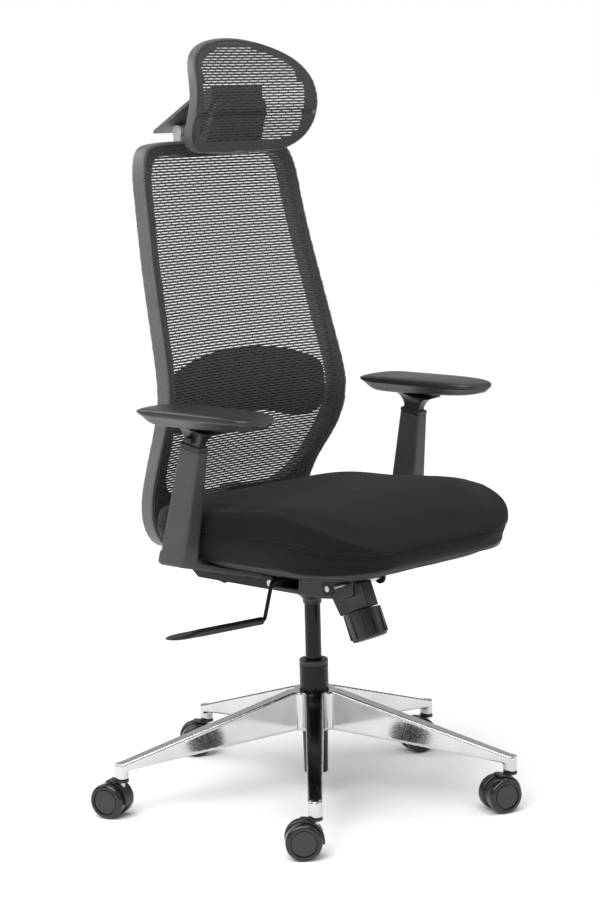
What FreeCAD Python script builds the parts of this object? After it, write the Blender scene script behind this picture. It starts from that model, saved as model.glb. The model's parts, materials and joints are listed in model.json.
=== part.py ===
import FreeCAD, Part
import math
import os

import Sketcher
from FreeCAD import Placement, Rotation, Vector

# Swivel office chair. Millimetres, +Z up, the sitter faces -Y and +X is the sitter's left.
# The origin is on the floor, on the axis of the column.

SIZES = [
    # five-star base
    ("leg_count", 5),
    ("first_leg_angle", -136.6),
    ("star_radius", 345),
    ("crown_radius", 42),
    ("hub_low", 121),
    ("hub_high", 189),
    ("crotch_round", 14),
    ("leg_root_half", 15.5),
    ("leg_tip_half", 12),
    ("leg_tip_high", 94),
    ("leg_tip_low", 80),
    ("stub_radius", 12),
    ("stub_low", 66),
    ("stem_hole_top", 90),
    # column
    ("tube_radius", 25),
    ("tube_wall", 1.5),
    ("taper_top", 170),
    ("taper_radius", 22),
    ("tube_foot_radius", 20.5),
    ("tube_low", 43.5),
    ("tube_high", 232),
    ("floor_plate", 3),
    ("bush_low", 172),
    ("bush_high", 243),
    ("lift_radius", 14),
    ("lift_wall", 2),
    ("lift_low", 155),
    ("lift_high", 372),
    ("rod_radius", 5),
    ("rod_end_radius", 4),
    ("rod_high", 182),
    ("running_gap", 0.08),
    # casters
    ("wheel_radius", 30),
    ("wheel_width", 18),
    ("wheel_inner", 7),
    ("caster_trail", 20),
    ("axle_radius", 3),
    ("stem_radius", 5.5),
    ("web_half", 6.2),
    ("hood_half", 13),
    # tilt mechanism
    ("housing_half", 42),
    ("housing_front", -115),
    ("housing_rear", 85),
    ("housing_low", 362),
    ("housing_front_top", 398),
    ("housing_rear_top", 384),
    ("collar_low", 340),
    ("collar_radius", 16.5),
    ("collar_flare", 36),
    ("back_pivot_y", 45),
    ("back_pivot_z", 378),
    ("back_pivot_radius", 6),
    ("seat_pivot_y", -100),
    ("seat_pivot_z", 388),
    ("seat_pivot_radius", 5),
    ("knob_tilt", 22.4),
    ("knob_y", -114.7),
    ("knob_z", 343),
    ("knob_radius", 30),
    ("knob_foot_radius", 28),
    ("knob_length", 49),
    ("bolt_radius", 5),
    ("spring_radius", 11),
    ("spring_wire", 2),
    ("lever_y", 27),
    ("lever_z", 384.2),
    ("lever_wire", 3.5),
    ("grip_radius", 6.75),
    # seat
    ("plate_low", 404),
    ("plate_thick", 4),
    ("seat_half", 250),
    ("seat_front", -310),
    ("seat_rear", 187),
    ("seat_corner", 120),
    ("rim_half", 245),
    ("rim_low", 447),
    ("rim_high", 456),
    ("shell_wall", 5),
    # arms
    ("arm_x", 269),
    ("arm_y", -2),
    ("arm_z", 640),
    ("arm_lean_x", -0.056),
    ("arm_lean_y", -0.181),
    ("arm_height", 192),
    ("post_half_x", 9),
    ("post_half_y", 18),
    ("slide_gap", 0.3),
    ("pad_half", 47.5),
    # back
    ("back_axis", -900),
    ("back_sag", 19),
    ("frame_depth", 28),
    ("mesh_inset", 7),
    ("mesh_thick", 2),
    ("lumbar_inset", 18),
    ("lumbar_thick", 6),
    # headrest
    ("head_axis", -250),
    ("head_depth", 17),
    ("head_mesh_inset", 5),
    ("head_pivot_y", 266),
    ("head_pivot_z", 1145),
    ("head_pin_radius", 4),
    ("cheek_radius", 11.5),
]

doc = FreeCAD.newDocument("office_chair")
sheet = doc.addObject("Spreadsheet::Sheet", "Sizes")
for row, (alias, number) in enumerate(SIZES, start=1):
    sheet.set("A%d" % row, alias)
    sheet.set("B%d" % row, str(number))
    sheet.setAlias("B%d" % row, alias)
doc.recompute()

nodes = []


class Dim:
    """A length that carries its number and the sheet expression that gives it."""

    def __init__(self, value, text):
        self.value = value
        self.text = text

    def joined(self, other, sign, value):
        return Dim(value, "(%s %s %s)" % (self.text, sign, other.text))

    def __add__(self, other):
        other = dim(other)
        return self.joined(other, "+", self.value + other.value)

    def __sub__(self, other):
        other = dim(other)
        return self.joined(other, "-", self.value - other.value)

    def __mul__(self, other):
        other = dim(other)
        return self.joined(other, "*", self.value * other.value)

    def __truediv__(self, other):
        other = dim(other)
        return self.joined(other, "/", self.value / other.value)

    def __neg__(self):
        return dim(0) - self

    def __radd__(self, other):
        return dim(other) + self

    def __rsub__(self, other):
        return dim(other) - self


def dim(number):
    """A Dim from a plain number, or the Dim itself."""
    if isinstance(number, Dim):
        return number
    return Dim(float(number), repr(float(number)))


def cell(alias):
    """The Dim of one cell of the sheet."""
    return Dim(float(sheet.get(alias)), "Sizes.%s" % alias)


def size(alias):
    return cell(alias).value


def bind(obj, prop, length):
    """Bind one property to its expression."""
    obj.setExpression(prop, dim(length).text)


def place(obj, x=0, y=0, z=0, rotation=None):
    """Put an object at a point given by expressions, turned by a fixed rotation."""
    point = Vector(dim(x).value, dim(y).value, dim(z).value)
    obj.Placement = Placement(point, rotation or Rotation())
    for axis, length in (("x", x), ("y", y), ("z", z)):
        bind(obj, "Placement.Base." + axis, length)
    return obj


def put(obj, placement):
    """Place an object by a worked-out placement instead of expressions."""
    for axis in "xyz":
        obj.setExpression("Placement.Base." + axis, None)
    obj.Placement = placement
    return obj


def node(obj, label):
    """Name a finished sub-part."""
    obj.Label = label
    nodes.append(obj)
    return obj


# ---------------------------------------------------------------- solids from primitives

ALONG_X = Rotation(Vector(0, 1, 0), 90)
UPRIGHT_XZ = Rotation(Vector(1, 0, 0), 90)


def box(name, x, y, z):
    """A box between two bounds along each axis."""
    obj = doc.addObject("Part::Box", name)
    for prop, (low, high) in (("Length", x), ("Width", y), ("Height", z)):
        bind(obj, prop, dim(high) - low)
    return place(obj, x[0], y[0], z[0])


def cylinder(name, radius, z, x=0, y=0):
    """An upright cylinder between two heights."""
    obj = doc.addObject("Part::Cylinder", name)
    bind(obj, "Radius", radius)
    bind(obj, "Height", dim(z[1]) - z[0])
    return place(obj, x, y, z[0])


def cross_pin(name, radius, x, y, z):
    """A cylinder along X between two bounds."""
    obj = doc.addObject("Part::Cylinder", name)
    bind(obj, "Radius", radius)
    bind(obj, "Height", dim(x[1]) - x[0])
    return place(obj, x[0], y, z, ALONG_X)


def cone(name, low_radius, high_radius, z, x=0, y=0):
    obj = doc.addObject("Part::Cone", name)
    bind(obj, "Radius1", low_radius)
    bind(obj, "Radius2", high_radius)
    bind(obj, "Height", dim(z[1]) - z[0])
    return place(obj, x, y, z[0])


def fuse(name, *shapes):
    obj = doc.addObject("Part::MultiFuse", name)
    obj.Shapes = list(shapes)
    obj.Refine = True
    return obj


def cut(name, base, *tools):
    """The base without its tools."""
    obj = doc.addObject("Part::Cut", name)
    obj.Base = base
    obj.Tool = tools[0] if len(tools) == 1 else fuse(name + "_tools", *tools)
    obj.Refine = True
    return obj


def common(name, first, second):
    obj = doc.addObject("Part::Common", name)
    obj.Base = first
    obj.Tool = second
    return obj


def rounded(name, base, radius, wanted):
    """The base with the edges that the test picks rounded."""
    doc.recompute()
    obj = doc.addObject("Part::Fillet", name)
    obj.Base = base
    edges = base.Shape.Edges
    obj.Edges = [(i, radius, radius) for i, edge in enumerate(edges, start=1) if wanted(edge)]
    return obj


def group(name, *shapes):
    """Separate solids kept as one sub-part."""
    obj = doc.addObject("Part::Compound", name)
    obj.Links = list(shapes)
    return obj


# ---------------------------------------------------------------- sketches


def sketch(name, body=None, role="XY_Plane", offset=0, turn=None, at=(0, 0, 0)):
    """A sketch on an origin plane of a body, or one placed freely."""
    if body is None:
        obj = doc.addObject("Sketcher::SketchObject", name)
        return place(obj, *at, rotation=turn)
    obj = body.newObject("Sketcher::SketchObject", name)
    plane = [p for p in body.Origin.OriginFeatures if p.Role == role][0]
    obj.AttachmentSupport = [(plane, "")]
    obj.MapMode = "FlatFace"
    if offset:
        obj.AttachmentOffset = Placement(Vector(0, 0, dim(offset).value), Rotation())
        bind(obj, "AttachmentOffset.Base.z", offset)
    return obj


def pin_down(obj, kind, index, point, length):
    """Hold one coordinate of a point at an expression, from the sketch's origin."""
    length = dim(length)
    number = obj.addConstraint(Sketcher.Constraint(kind, -1, 1, index, point, length.value))
    obj.setExpression("Constraints[%d]" % number, length.text)


def polygon(obj, points):
    """A closed outline of straight sides through points given by expressions."""
    corners = [Vector(dim(x).value, dim(y).value, 0) for x, y in points]
    count = len(corners)
    first = obj.GeometryCount
    for i in range(count):
        obj.addGeometry(Part.LineSegment(corners[i], corners[(i + 1) % count]))
    for i in range(count):
        following = first + (i + 1) % count
        obj.addConstraint(Sketcher.Constraint("Coincident", first + i, 2, following, 1))
    for i, (x, y) in enumerate(points, start=first):
        pin_down(obj, "DistanceX", i, 1, x)
        pin_down(obj, "DistanceY", i, 1, y)
    return obj


def circle(obj, x, y, radius):
    centre = Vector(dim(x).value, dim(y).value, 0)
    index = obj.addGeometry(Part.Circle(centre, Vector(0, 0, 1), dim(radius).value))
    number = obj.addConstraint(Sketcher.Constraint("Radius", index, dim(radius).value))
    obj.setExpression("Constraints[%d]" % number, dim(radius).text)
    pin_down(obj, "DistanceX", index, 3, x)
    pin_down(obj, "DistanceY", index, 3, y)
    return obj


def rounded_rectangle(obj, x, y, radius):
    """A rectangle between two bounds each way, with four equal round corners."""
    (left, right), (low, high) = [(dim(a), dim(b)) for a, b in (x, y)]
    radius = dim(radius)
    r = radius.value
    inner = {
        "x": (left.value + r, right.value - r),
        "y": (low.value + r, high.value - r),
    }
    corners = [(1, 0, -90), (1, 1, 0), (0, 1, 90), (0, 0, 180)]
    first = obj.GeometryCount
    for i, (across, up, start) in enumerate(corners):
        centre = Vector(inner["x"][across], inner["y"][up], 0)
        turn = math.radians(start)
        side = Vector(math.cos(turn), math.sin(turn), 0) * r
        last_across, last_up, _ = corners[i - 1]
        before = Vector(inner["x"][last_across], inner["y"][last_up], 0)
        obj.addGeometry(Part.LineSegment(before + side, centre + side))
        round_corner = Part.Circle(centre, Vector(0, 0, 1), r)
        obj.addGeometry(Part.ArcOfCircle(round_corner, turn, turn + math.pi / 2))
    for i in range(4):
        line = first + 2 * i
        arc = line + 1
        following = first + (2 * i + 2) % 8
        obj.addConstraint(Sketcher.Constraint("Tangent", line, 2, arc, 1))
        obj.addConstraint(Sketcher.Constraint("Tangent", arc, 2, following, 1))
        kind = "Horizontal" if i % 2 == 0 else "Vertical"
        obj.addConstraint(Sketcher.Constraint(kind, line))
        if i:
            obj.addConstraint(Sketcher.Constraint("Equal", first + 1, arc))
    number = obj.addConstraint(Sketcher.Constraint("Radius", first + 1, r))
    obj.setExpression("Constraints[%d]" % number, radius.text)
    pin_down(obj, "DistanceY", first, 1, low)
    pin_down(obj, "DistanceX", first + 2, 1, right)
    pin_down(obj, "DistanceY", first + 4, 1, high)
    pin_down(obj, "DistanceX", first + 6, 1, left)
    return obj


def extrude(name, outline, length, direction=None):
    """A sketch pushed along its own normal, or along a given direction."""
    obj = doc.addObject("Part::Extrusion", name)
    obj.Base = outline
    obj.Solid = True
    if direction is None:
        obj.DirMode = "Normal"
    else:
        obj.DirMode = "Custom"
        obj.Dir = Vector(*direction)
    bind(obj, "LengthFwd", length)
    return obj


def side_plate(name, points, half):
    """An outline in the YZ plane pushed symmetrically along X."""
    half = dim(half)
    turn = Rotation(Vector(0, 1, 0), Vector(0, 0, 1), Vector(1, 0, 0), "ZXY")
    outline = polygon(sketch(name + "_outline", turn=turn, at=(-half, 0, 0)), points)
    return extrude(name, outline, half * 2)


def loft(name, sections, ruled=False):
    obj = doc.addObject("Part::Loft", name)
    obj.Sections = sections
    obj.Solid = True
    obj.Ruled = ruled
    return obj


def turned(label, points, role="XZ_Plane", axis="V_Axis"):
    """A body turned about an axis of its sketch from an outline of (radius, height)."""
    body = doc.addObject("PartDesign::Body", label)
    outline = polygon(sketch(label + "_outline", body, role), points)
    turn = body.newObject("PartDesign::Revolution", label + "_turn")
    turn.Profile = outline
    turn.ReferenceAxis = (outline, [axis])
    turn.Angle = 360
    body.Tip = turn
    return body


# ---------------------------------------------------------------- base


def pattern(body, name, features, axis_sketch):
    """Repeat features of the first leg around the column."""
    ring = body.newObject("PartDesign::PolarPattern", name)
    ring.Originals = features
    ring.Axis = (axis_sketch, ["V_Axis"])
    ring.Angle = 360
    bind(ring, "Occurrences", cell("leg_count"))
    body.Tip = ring
    doc.recompute()
    return ring


def body_fillet(body, name, radius, wanted):
    """Round the edges of the body's last feature that the test picks."""
    doc.recompute()
    last = body.Tip
    edges = ["Edge%d" % i for i, edge in enumerate(last.Shape.Edges, start=1) if wanted(edge)]
    fillet = body.newObject("PartDesign::Fillet", name)
    fillet.Base = (last, edges)
    fillet.Radius = radius
    body.Tip = fillet
    doc.recompute()
    return fillet


def make_base_star():
    """Five tapering legs about a bored hub, each ending in a socket for a caster stem."""
    body = doc.addObject("PartDesign::Body", "base_star")
    reach = cell("star_radius")
    root_half = cell("leg_root_half")
    tip_half = cell("leg_tip_half")
    crown_radius = cell("crown_radius")
    slope_high = (cell("hub_high") - cell("leg_tip_high")) / (reach - crown_radius)
    slope_low = (cell("hub_low") - cell("leg_tip_low")) / (reach - crown_radius)

    axis_holder = circle(sketch("axis_holder", body, "XZ_Plane"), 0, 0, 1)
    sections = []
    for i, (away, half, low, top) in enumerate([
        (0, root_half, cell("hub_low"), cell("hub_high")),
        (crown_radius, root_half, cell("hub_low"), cell("hub_high")),
        (reach, tip_half, cell("leg_tip_low"), cell("leg_tip_high")),
    ]):
        corners = [(-half, low), (half, low), (half, top), (-half, top)]
        sections.append(polygon(sketch("leg_section_%d" % i, body, "YZ_Plane", away), corners))
    leg = body.newObject("PartDesign::AdditiveLoft", "leg")
    leg.Profile = sections[0]
    leg.Sections = sections[1:]
    leg.Ruled = True
    body.Tip = leg
    pattern(body, "legs", [leg], axis_holder)
    body_fillet(
        body, "crotches", size("crotch_round"),
        lambda edge: edge.BoundBox.ZLength > 50 and edge.BoundBox.ZLength > 0.99 * edge.Length
        and math.hypot(edge.CenterOfMass.x, edge.CenterOfMass.y) < 60,
    )
    stub = body.newObject("PartDesign::Pad", "stub")
    stub.Profile = circle(
        sketch("stub_outline", body, "XY_Plane", cell("stub_low")), reach, 0, cell("stub_radius"),
    )
    bind(stub, "Length", cell("leg_tip_high") - cell("stub_low"))
    body.Tip = stub
    hollow = []
    for i, away in enumerate((crown_radius + 14, reach - 40)):
        share = away / reach
        half = root_half - (root_half - tip_half) * share
        low = cell("hub_low") - slope_low * (away - crown_radius)
        top = cell("hub_high") - slope_high * (away - crown_radius)
        roof = low + (top - low) * 0.6
        hollow.append(polygon(sketch("leg_hollow_%d" % i, body, "YZ_Plane", away), [
            (4 - half, low - 5), (half - 4, low - 5), (half - 5, roof), (5 - half, roof),
        ]))
    recess = body.newObject("PartDesign::SubtractiveLoft", "leg_recess")
    recess.Profile = hollow[0]
    recess.Sections = hollow[1:]
    recess.Ruled = True
    socket = body.newObject("PartDesign::Pocket", "socket")
    socket.Profile = circle(
        sketch("socket_outline", body, "XY_Plane", cell("stub_low")),
        reach, 0, cell("stem_radius") + cell("running_gap"),
    )
    bind(socket, "Length", cell("stem_hole_top") - cell("stub_low"))
    socket.Reversed = True
    pattern(body, "leg_ends", [stub, recess, socket], axis_holder)

    bore = body.newObject("PartDesign::Groove", "bore")
    bore.Profile = polygon(sketch("bore_outline", body, "XZ_Plane"), [
        (0, cell("hub_low") - 1),
        (cell("taper_radius"), cell("hub_low") - 1),
        (cell("taper_radius"), cell("hub_low")),
        (cell("tube_radius"), cell("taper_top")),
        (cell("tube_radius"), cell("hub_high") + 1),
        (0, cell("hub_high") + 1),
    ])
    bore.ReferenceAxis = (bore.Profile[0], ["V_Axis"])
    bore.Angle = 360
    body.Tip = bore
    doc.recompute()
    if not bore.Shape.Volume < bore.BaseFeature.Shape.Volume:
        raise ValueError("the bore of the hub cut nothing")
    body.Placement = Placement(Vector(), Rotation(Vector(0, 0, 1), size("first_leg_angle")))
    bind(body, "Placement.Rotation.Angle", cell("first_leg_angle"))
    return node(body, "base_star")


def make_column():
    """The outer tube, its guide bush, the bearing, and the rod that the chair turns on."""
    wall = cell("tube_wall")
    gap = cell("running_gap")
    plate_top = cell("tube_low") + cell("floor_plate")
    tube = turned("column_tube", [
        (cell("rod_end_radius") + gap, cell("tube_low")),
        (cell("tube_foot_radius"), cell("tube_low")),
        (cell("taper_radius"), cell("hub_low")),
        (cell("tube_radius"), cell("taper_top")),
        (cell("tube_radius"), cell("tube_high")),
        (cell("tube_radius") - wall, cell("tube_high")),
        (cell("tube_radius") - wall, cell("taper_top")),
        (cell("taper_radius") - wall, cell("hub_low")),
        (cell("tube_foot_radius") - wall, plate_top),
        (cell("rod_end_radius") + gap, plate_top),
    ])
    node(tube, "column_tube")

    bush = turned("column_bush", [
        (cell("lift_radius") + gap, cell("bush_low")),
        (cell("tube_radius") - wall, cell("bush_low")),
        (cell("tube_radius") - wall, cell("tube_high")),
        (cell("tube_radius") - 0.8, cell("tube_high")),
        (cell("tube_radius") - 0.8, cell("tube_high") + 1.2),
        (cell("tube_radius"), cell("tube_high") + 1.6),
        (cell("tube_radius"), cell("bush_high") - 1.6),
        (cell("tube_radius") - 1.6, cell("bush_high")),
        (cell("lift_radius") + 2.5, cell("bush_high")),
        (cell("lift_radius") + gap, cell("bush_high") - 2),
    ])
    node(bush, "column_bush")

    bearing_top = plate_top + 4
    bearing = cut(
        "bearing_ring",
        cylinder("bearing_disc", 12, (plate_top, bearing_top)),
        cylinder("bearing_hole", cell("rod_end_radius") + gap, (plate_top - 1, bearing_top + 1)),
    )
    node(bearing, "thrust_bearing")

    rod = turned("piston_rod", [
        (0, cell("tube_low") - 5),
        (cell("rod_end_radius"), cell("tube_low") - 5),
        (cell("rod_end_radius"), bearing_top),
        (cell("rod_radius"), bearing_top),
        (cell("rod_radius"), cell("rod_high")),
        (cell("lift_radius") - cell("lift_wall") - gap, cell("rod_high")),
        (cell("lift_radius") - cell("lift_wall") - gap, cell("rod_high") + 8),
        (0, cell("rod_high") + 8),
    ])
    node(rod, "piston_rod")

    clip = cut(
        "clip_ring",
        cylinder("clip_disc", 8, (cell("tube_low") - 4, cell("tube_low") - 1)),
        cylinder("clip_hole", cell("rod_end_radius"), (cell("tube_low") - 5, cell("tube_low"))),
    )
    node(clip, "rod_clip")

    bore = cell("lift_radius") - cell("lift_wall")
    lift = turned("gas_cylinder", [
        (cell("rod_radius") + gap, cell("lift_low")),
        (cell("lift_radius"), cell("lift_low")),
        (cell("lift_radius"), cell("collar_low") + 5),
        (cell("lift_radius") - 1, cell("lift_high")),
        (4, cell("lift_high")),
        (4, cell("lift_high") + 8),
        (0, cell("lift_high") + 8),
        (0, cell("collar_low")),
        (bore, cell("collar_low")),
        (bore, cell("lift_low") + 8),
        (cell("rod_radius") + gap, cell("lift_low") + 8),
    ])
    node(lift, "gas_cylinder")


# ---------------------------------------------------------------- casters

# The bearing angle of each caster's axle about +Z, in degrees.
CASTER_AXLES = [47, 69, 69, 52, 19]


def make_caster(number, axle_angle):
    """A twin-wheel caster, built about its own stem and then put under its leg."""
    name = "caster_%d" % number
    trail = cell("caster_trail")
    height = cell("wheel_radius")
    radius = cell("wheel_radius")
    web = cross_pin(name + "_web", radius - 3, (-cell("web_half"), cell("web_half")), trail, height)
    hood_reach = radius + 4
    hood = cross_pin(name + "_fender", hood_reach, (-cell("hood_half"), cell("hood_half")), trail, height)
    arch = cross_pin(name + "_arch", radius + 1, (-20, 20), trail, height)
    rear = box(name + "_rear", (-20, 20), (trail + 4, trail + 60), (-10, 100))
    under = box(name + "_under", (-20, 20), (-60, trail + 60), (-20, height - 6))
    fender = cut(name + "_hood", hood, arch, rear, under)
    bridge = box(
        name + "_bridge", (-cell("web_half"), cell("web_half")), (trail - hood_reach + 2, trail),
        (height - 4, height + 31),
    )
    ball = cross_pin(name + "_ball", hood_reach, (-cell("web_half"), cell("web_half")), trail, height)
    rib = common(name + "_rib", bridge, ball)
    neck = cylinder(name + "_neck", cell("stub_radius"), (height + 31.5, cell("stub_low") - 0.5))
    solid = fuse(name + "_solid", web, fender, rib, neck)
    stem_low = height + 22
    stem = cylinder(name + "_stem", cell("stem_radius"), (stem_low, cell("stem_hole_top") - 2))
    axle_half = cell("wheel_inner") + cell("wheel_width") - 3
    axle = cross_pin(name + "_axle", cell("axle_radius"), (-axle_half, axle_half), trail, height)
    housing = cut(
        name + "_body", solid,
        cylinder(name + "_stem_hole", cell("stem_radius"), (stem_low, cell("stub_low"))),
        cross_pin(name + "_axle_hole", cell("axle_radius"), (-20, 20), trail, height),
    )
    pins = group(name + "_pair", stem, axle)

    wheels = {}
    for side, sign in (("left", 1), ("right", -1)):
        inner = cell("wheel_inner")
        outer = inner + cell("wheel_width")
        bore = cell("axle_radius") + cell("running_gap")
        outline = [
            (inner, bore),
            (inner, radius - 1.5),
            (inner + 1.5, radius),
            (outer - 3.2, radius),
            (outer - 1.6, radius - 0.7),
            (outer - 0.7, radius - 2.2),
            (outer - 1.8, radius - 2.2),
            (outer - 1.8, radius - 3.0),
            (outer - 0.4, radius - 3.0),
            (outer, radius - 3.6),
            (outer, 0),
            (outer - 2.4, 0),
            (outer - 2.4, bore),
        ]
        points = [(dim(x) * sign, y) for x, y in outline]
        wheel = turned("%s_wheel_%s" % (name, side), points, "XZ_Plane", "H_Axis")
        wheels[side] = wheel

    leg_angle = math.radians(size("first_leg_angle") + 360 / size("leg_count") * number)
    foot = Vector(math.cos(leg_angle), math.sin(leg_angle), 0) * size("star_radius")
    turn = Rotation(Vector(0, 0, 1), axle_angle)
    for obj, label in ((housing, "_housing"), (pins, "_pins")):
        doc.recompute()
        obj.Placement = Placement(foot, turn)
        node(obj, name + label)
    hub_height = Vector(0, trail.value, height.value)
    for side, wheel in wheels.items():
        wheel.Placement = Placement(foot + turn.multVec(hub_height), turn)
        node(wheel, "%s_wheel_%s" % (name, side))


# ---------------------------------------------------------------- tilt mechanism


def knob_placement(lift=0):
    """A point on the knob's leaning axis, with local +Z running up into the housing."""
    lean = math.radians(size("knob_tilt"))
    rise = Vector(0, math.sin(lean), math.cos(lean)) * lift
    turned = Rotation(Vector(1, 0, 0), -size("knob_tilt"))
    return Placement(Vector(0, size("knob_y"), size("knob_z")) + rise, turned)


def make_mechanism():
    """The housing on top of the column, its pins, and the spring with its knob."""
    half = cell("housing_half")
    tray = side_plate("tray", [
        (cell("housing_front"), cell("housing_low") + 8),
        (cell("housing_front") + 22, cell("housing_low")),
        (cell("housing_rear") - 12, cell("housing_low")),
        (cell("housing_rear"), cell("housing_low") + 8),
        (cell("housing_rear"), cell("housing_rear_top")),
        (cell("housing_front"), cell("housing_front_top")),
    ], half)
    collar = cylinder("collar", cell("collar_radius"), (cell("collar_low"), cell("collar_low") + 9))
    flare = cone(
        "collar_cone", cell("collar_radius"), cell("collar_flare"),
        (cell("collar_low") + 9, cell("housing_low") + 4),
    )
    nose = box("nose", (-26, 26), (-30, 36), (0, 44))
    put(nose, knob_placement().multiply(nose.Placement))
    solid = fuse("housing_solid", tray, collar, flare, nose)

    seat_bore = cylinder(
        "cylinder_bore", cell("lift_radius"), (cell("collar_low") - 1, cell("collar_low") + 5)
    )
    seat_taper = cone(
        "cylinder_taper", cell("lift_radius"), cell("lift_radius") - 1,
        (cell("collar_low") + 5, cell("lift_high")),
    )
    pocket = box("lever_pocket", (-half - 1, 9), (-8, 35), (cell("lift_high"), 410))
    bolt_hole = cylinder("bolt_hole", cell("bolt_radius") + cell("running_gap"), (-1, 34))
    put(bolt_hole, knob_placement(-1))
    chamber = cylinder("spring_chamber", cell("spring_radius") + 4, (5, 35))
    put(chamber, knob_placement(4))
    back_hole = cross_pin(
        "back_hole", cell("back_pivot_radius"), (-half - 1, half + 1), cell("back_pivot_y"),
        cell("back_pivot_z"),
    )
    seat_hole = cross_pin(
        "seat_hole", cell("seat_pivot_radius"), (-half - 1, half + 1), cell("seat_pivot_y"),
        cell("seat_pivot_z"),
    )
    housing = cut(
        "housing", solid, seat_bore, seat_taper, pocket, bolt_hole, chamber, back_hole, seat_hole,
    )
    node(housing, "tilt_housing")
    node(cross_pin(
        "tilt_pin", cell("back_pivot_radius"), (-58, 58), cell("back_pivot_y"), cell("back_pivot_z"),
    ), "tilt_axle")
    node(cross_pin(
        "seat_pin", cell("seat_pivot_radius"), (-68, 68), cell("seat_pivot_y"), cell("seat_pivot_z"),
    ), "seat_hinge_pin")

    coil = Part.makeHelix(5.2, 26, size("spring_radius"))
    wire_round = Part.Circle(Vector(size("spring_radius"), 0, 0), Vector(0, 1, 0), size("spring_wire"))
    section = Part.Wire(wire_round.toShape())
    spring = doc.addObject("Part::Feature", "spring_coil")
    spring.Shape = Part.Wire(coil).makePipeShell([section], True, True)
    spring.Placement = knob_placement(6.4)
    node(spring, "tension_spring")

    bolt = cylinder("bolt", cell("bolt_radius"), (-30, 30))
    put(bolt, knob_placement(-30))
    node(bolt, "tension_bolt")


def make_knob():
    """The tension knob: a tapered drum with raised ribs, hollow around its bolt."""
    length = cell("knob_length")
    drum = cone("knob_drum", cell("knob_foot_radius"), cell("knob_radius"), (0, length))
    smooth = rounded(
        "knob_smooth", drum, 4,
        lambda edge: edge.BoundBox.ZMax < 1 and isinstance(edge.Curve, Part.Circle),
    )
    ribs = []
    count = 10
    for i in range(count):
        rib_reach = (cell("knob_foot_radius") - 3, cell("knob_radius") + 0.6)
        rib = box("knob_rib_%d" % i, rib_reach, (-1.4, 1.4), (5, length))
        turn = Rotation(Vector(0, 0, 1), 360 / count * i)
        put(rib, Placement(Vector(), turn).multiply(rib.Placement))
        ribs.append(rib)
    whole = fuse("knob_whole", smooth, *ribs)
    hole = cylinder("knob_hole", cell("bolt_radius"), (length - 28.5, length + 1))
    knob = cut("knob", whole, hole)
    doc.recompute()
    knob.Placement = knob_placement(-1.5 - size("knob_length"))
    node(knob, "tension_knob")


def bent_bar(points, bend, radius):
    """A round bar along straight runs joined by arcs of one bend radius."""
    edges = []
    start = points[0]
    for i in range(1, len(points) - 1):
        corner = points[i]
        back = (points[i - 1] - corner).normalize()
        ahead = (points[i + 1] - corner).normalize()
        half_turn = (math.pi - back.getAngle(ahead)) / 2
        setback = bend * math.tan(half_turn)
        middle = (back + ahead).normalize() * (bend / math.cos(half_turn) - bend)
        first = corner + back * setback
        last = corner + ahead * setback
        edges.append(Part.LineSegment(start, first).toShape())
        edges.append(Part.Arc(first, corner + middle, last).toShape())
        start = last
    edges.append(Part.LineSegment(start, points[-1]).toShape())
    path = Part.Wire(edges)
    along = (points[1] - points[0]).normalize()
    ring = Part.Circle(points[0], along, radius).toShape()
    return path.makePipeShell([Part.Wire(ring)], True, True)


def make_lever():
    """The height lever: a bent bar from the valve to a black grip with a flat paddle."""
    y = size("lever_y")
    z = size("lever_z")
    bend_low = 322
    tip = 327
    bar = doc.addObject("Part::Feature", "lever_bar")
    bar.Shape = bent_bar([
        Vector(-2, 5, z),
        Vector(-30, y, z),
        Vector(-70, y, z),
        Vector(-90, y, bend_low),
        Vector(-232, y, tip - 1.5),
    ], 7, size("lever_wire"))
    node(bar, "height_lever")

    slope = math.degrees(math.atan2(tip - bend_low, 145))
    frame = Placement(Vector(-97, y, bend_low), Rotation(Vector(0, 1, 0), slope - 90))
    grip_radius = cell("grip_radius")
    sleeve = cylinder("grip_sleeve", grip_radius, (0, 140))
    stations = [
        (138, 6.75, 6.75, 6.6),
        (150, 6.2, 7.2, 5.6),
        (164, 4.2, 11.5, 3.8),
        (182, 3.2, 15.0, 3.0),
        (204, 2.4, 13.0, 2.2),
        (216, 1.6, 7.0, 1.5),
    ]
    sections = []
    for i, (away, thick, wide, corner) in enumerate(stations):
        outline = sketch("paddle_section_%d" % i, at=(0, 0, away))
        sections.append(rounded_rectangle(outline, (-thick, thick), (-wide, wide), corner))
    paddle = loft("paddle", sections, ruled=True)
    solid = fuse("grip_solid", sleeve, paddle)
    doc.recompute()
    solid.Placement = frame
    node(cut("grip", solid, bar), "lever_grip")


# ---------------------------------------------------------------- seat


def plan_outline(name, half, front, rear, corner, height):
    """A rounded rectangle in plan at one height."""
    outline = sketch(name, at=(0, 0, height))
    return rounded_rectangle(outline, (-dim(half), half), (front, rear), corner)


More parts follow.
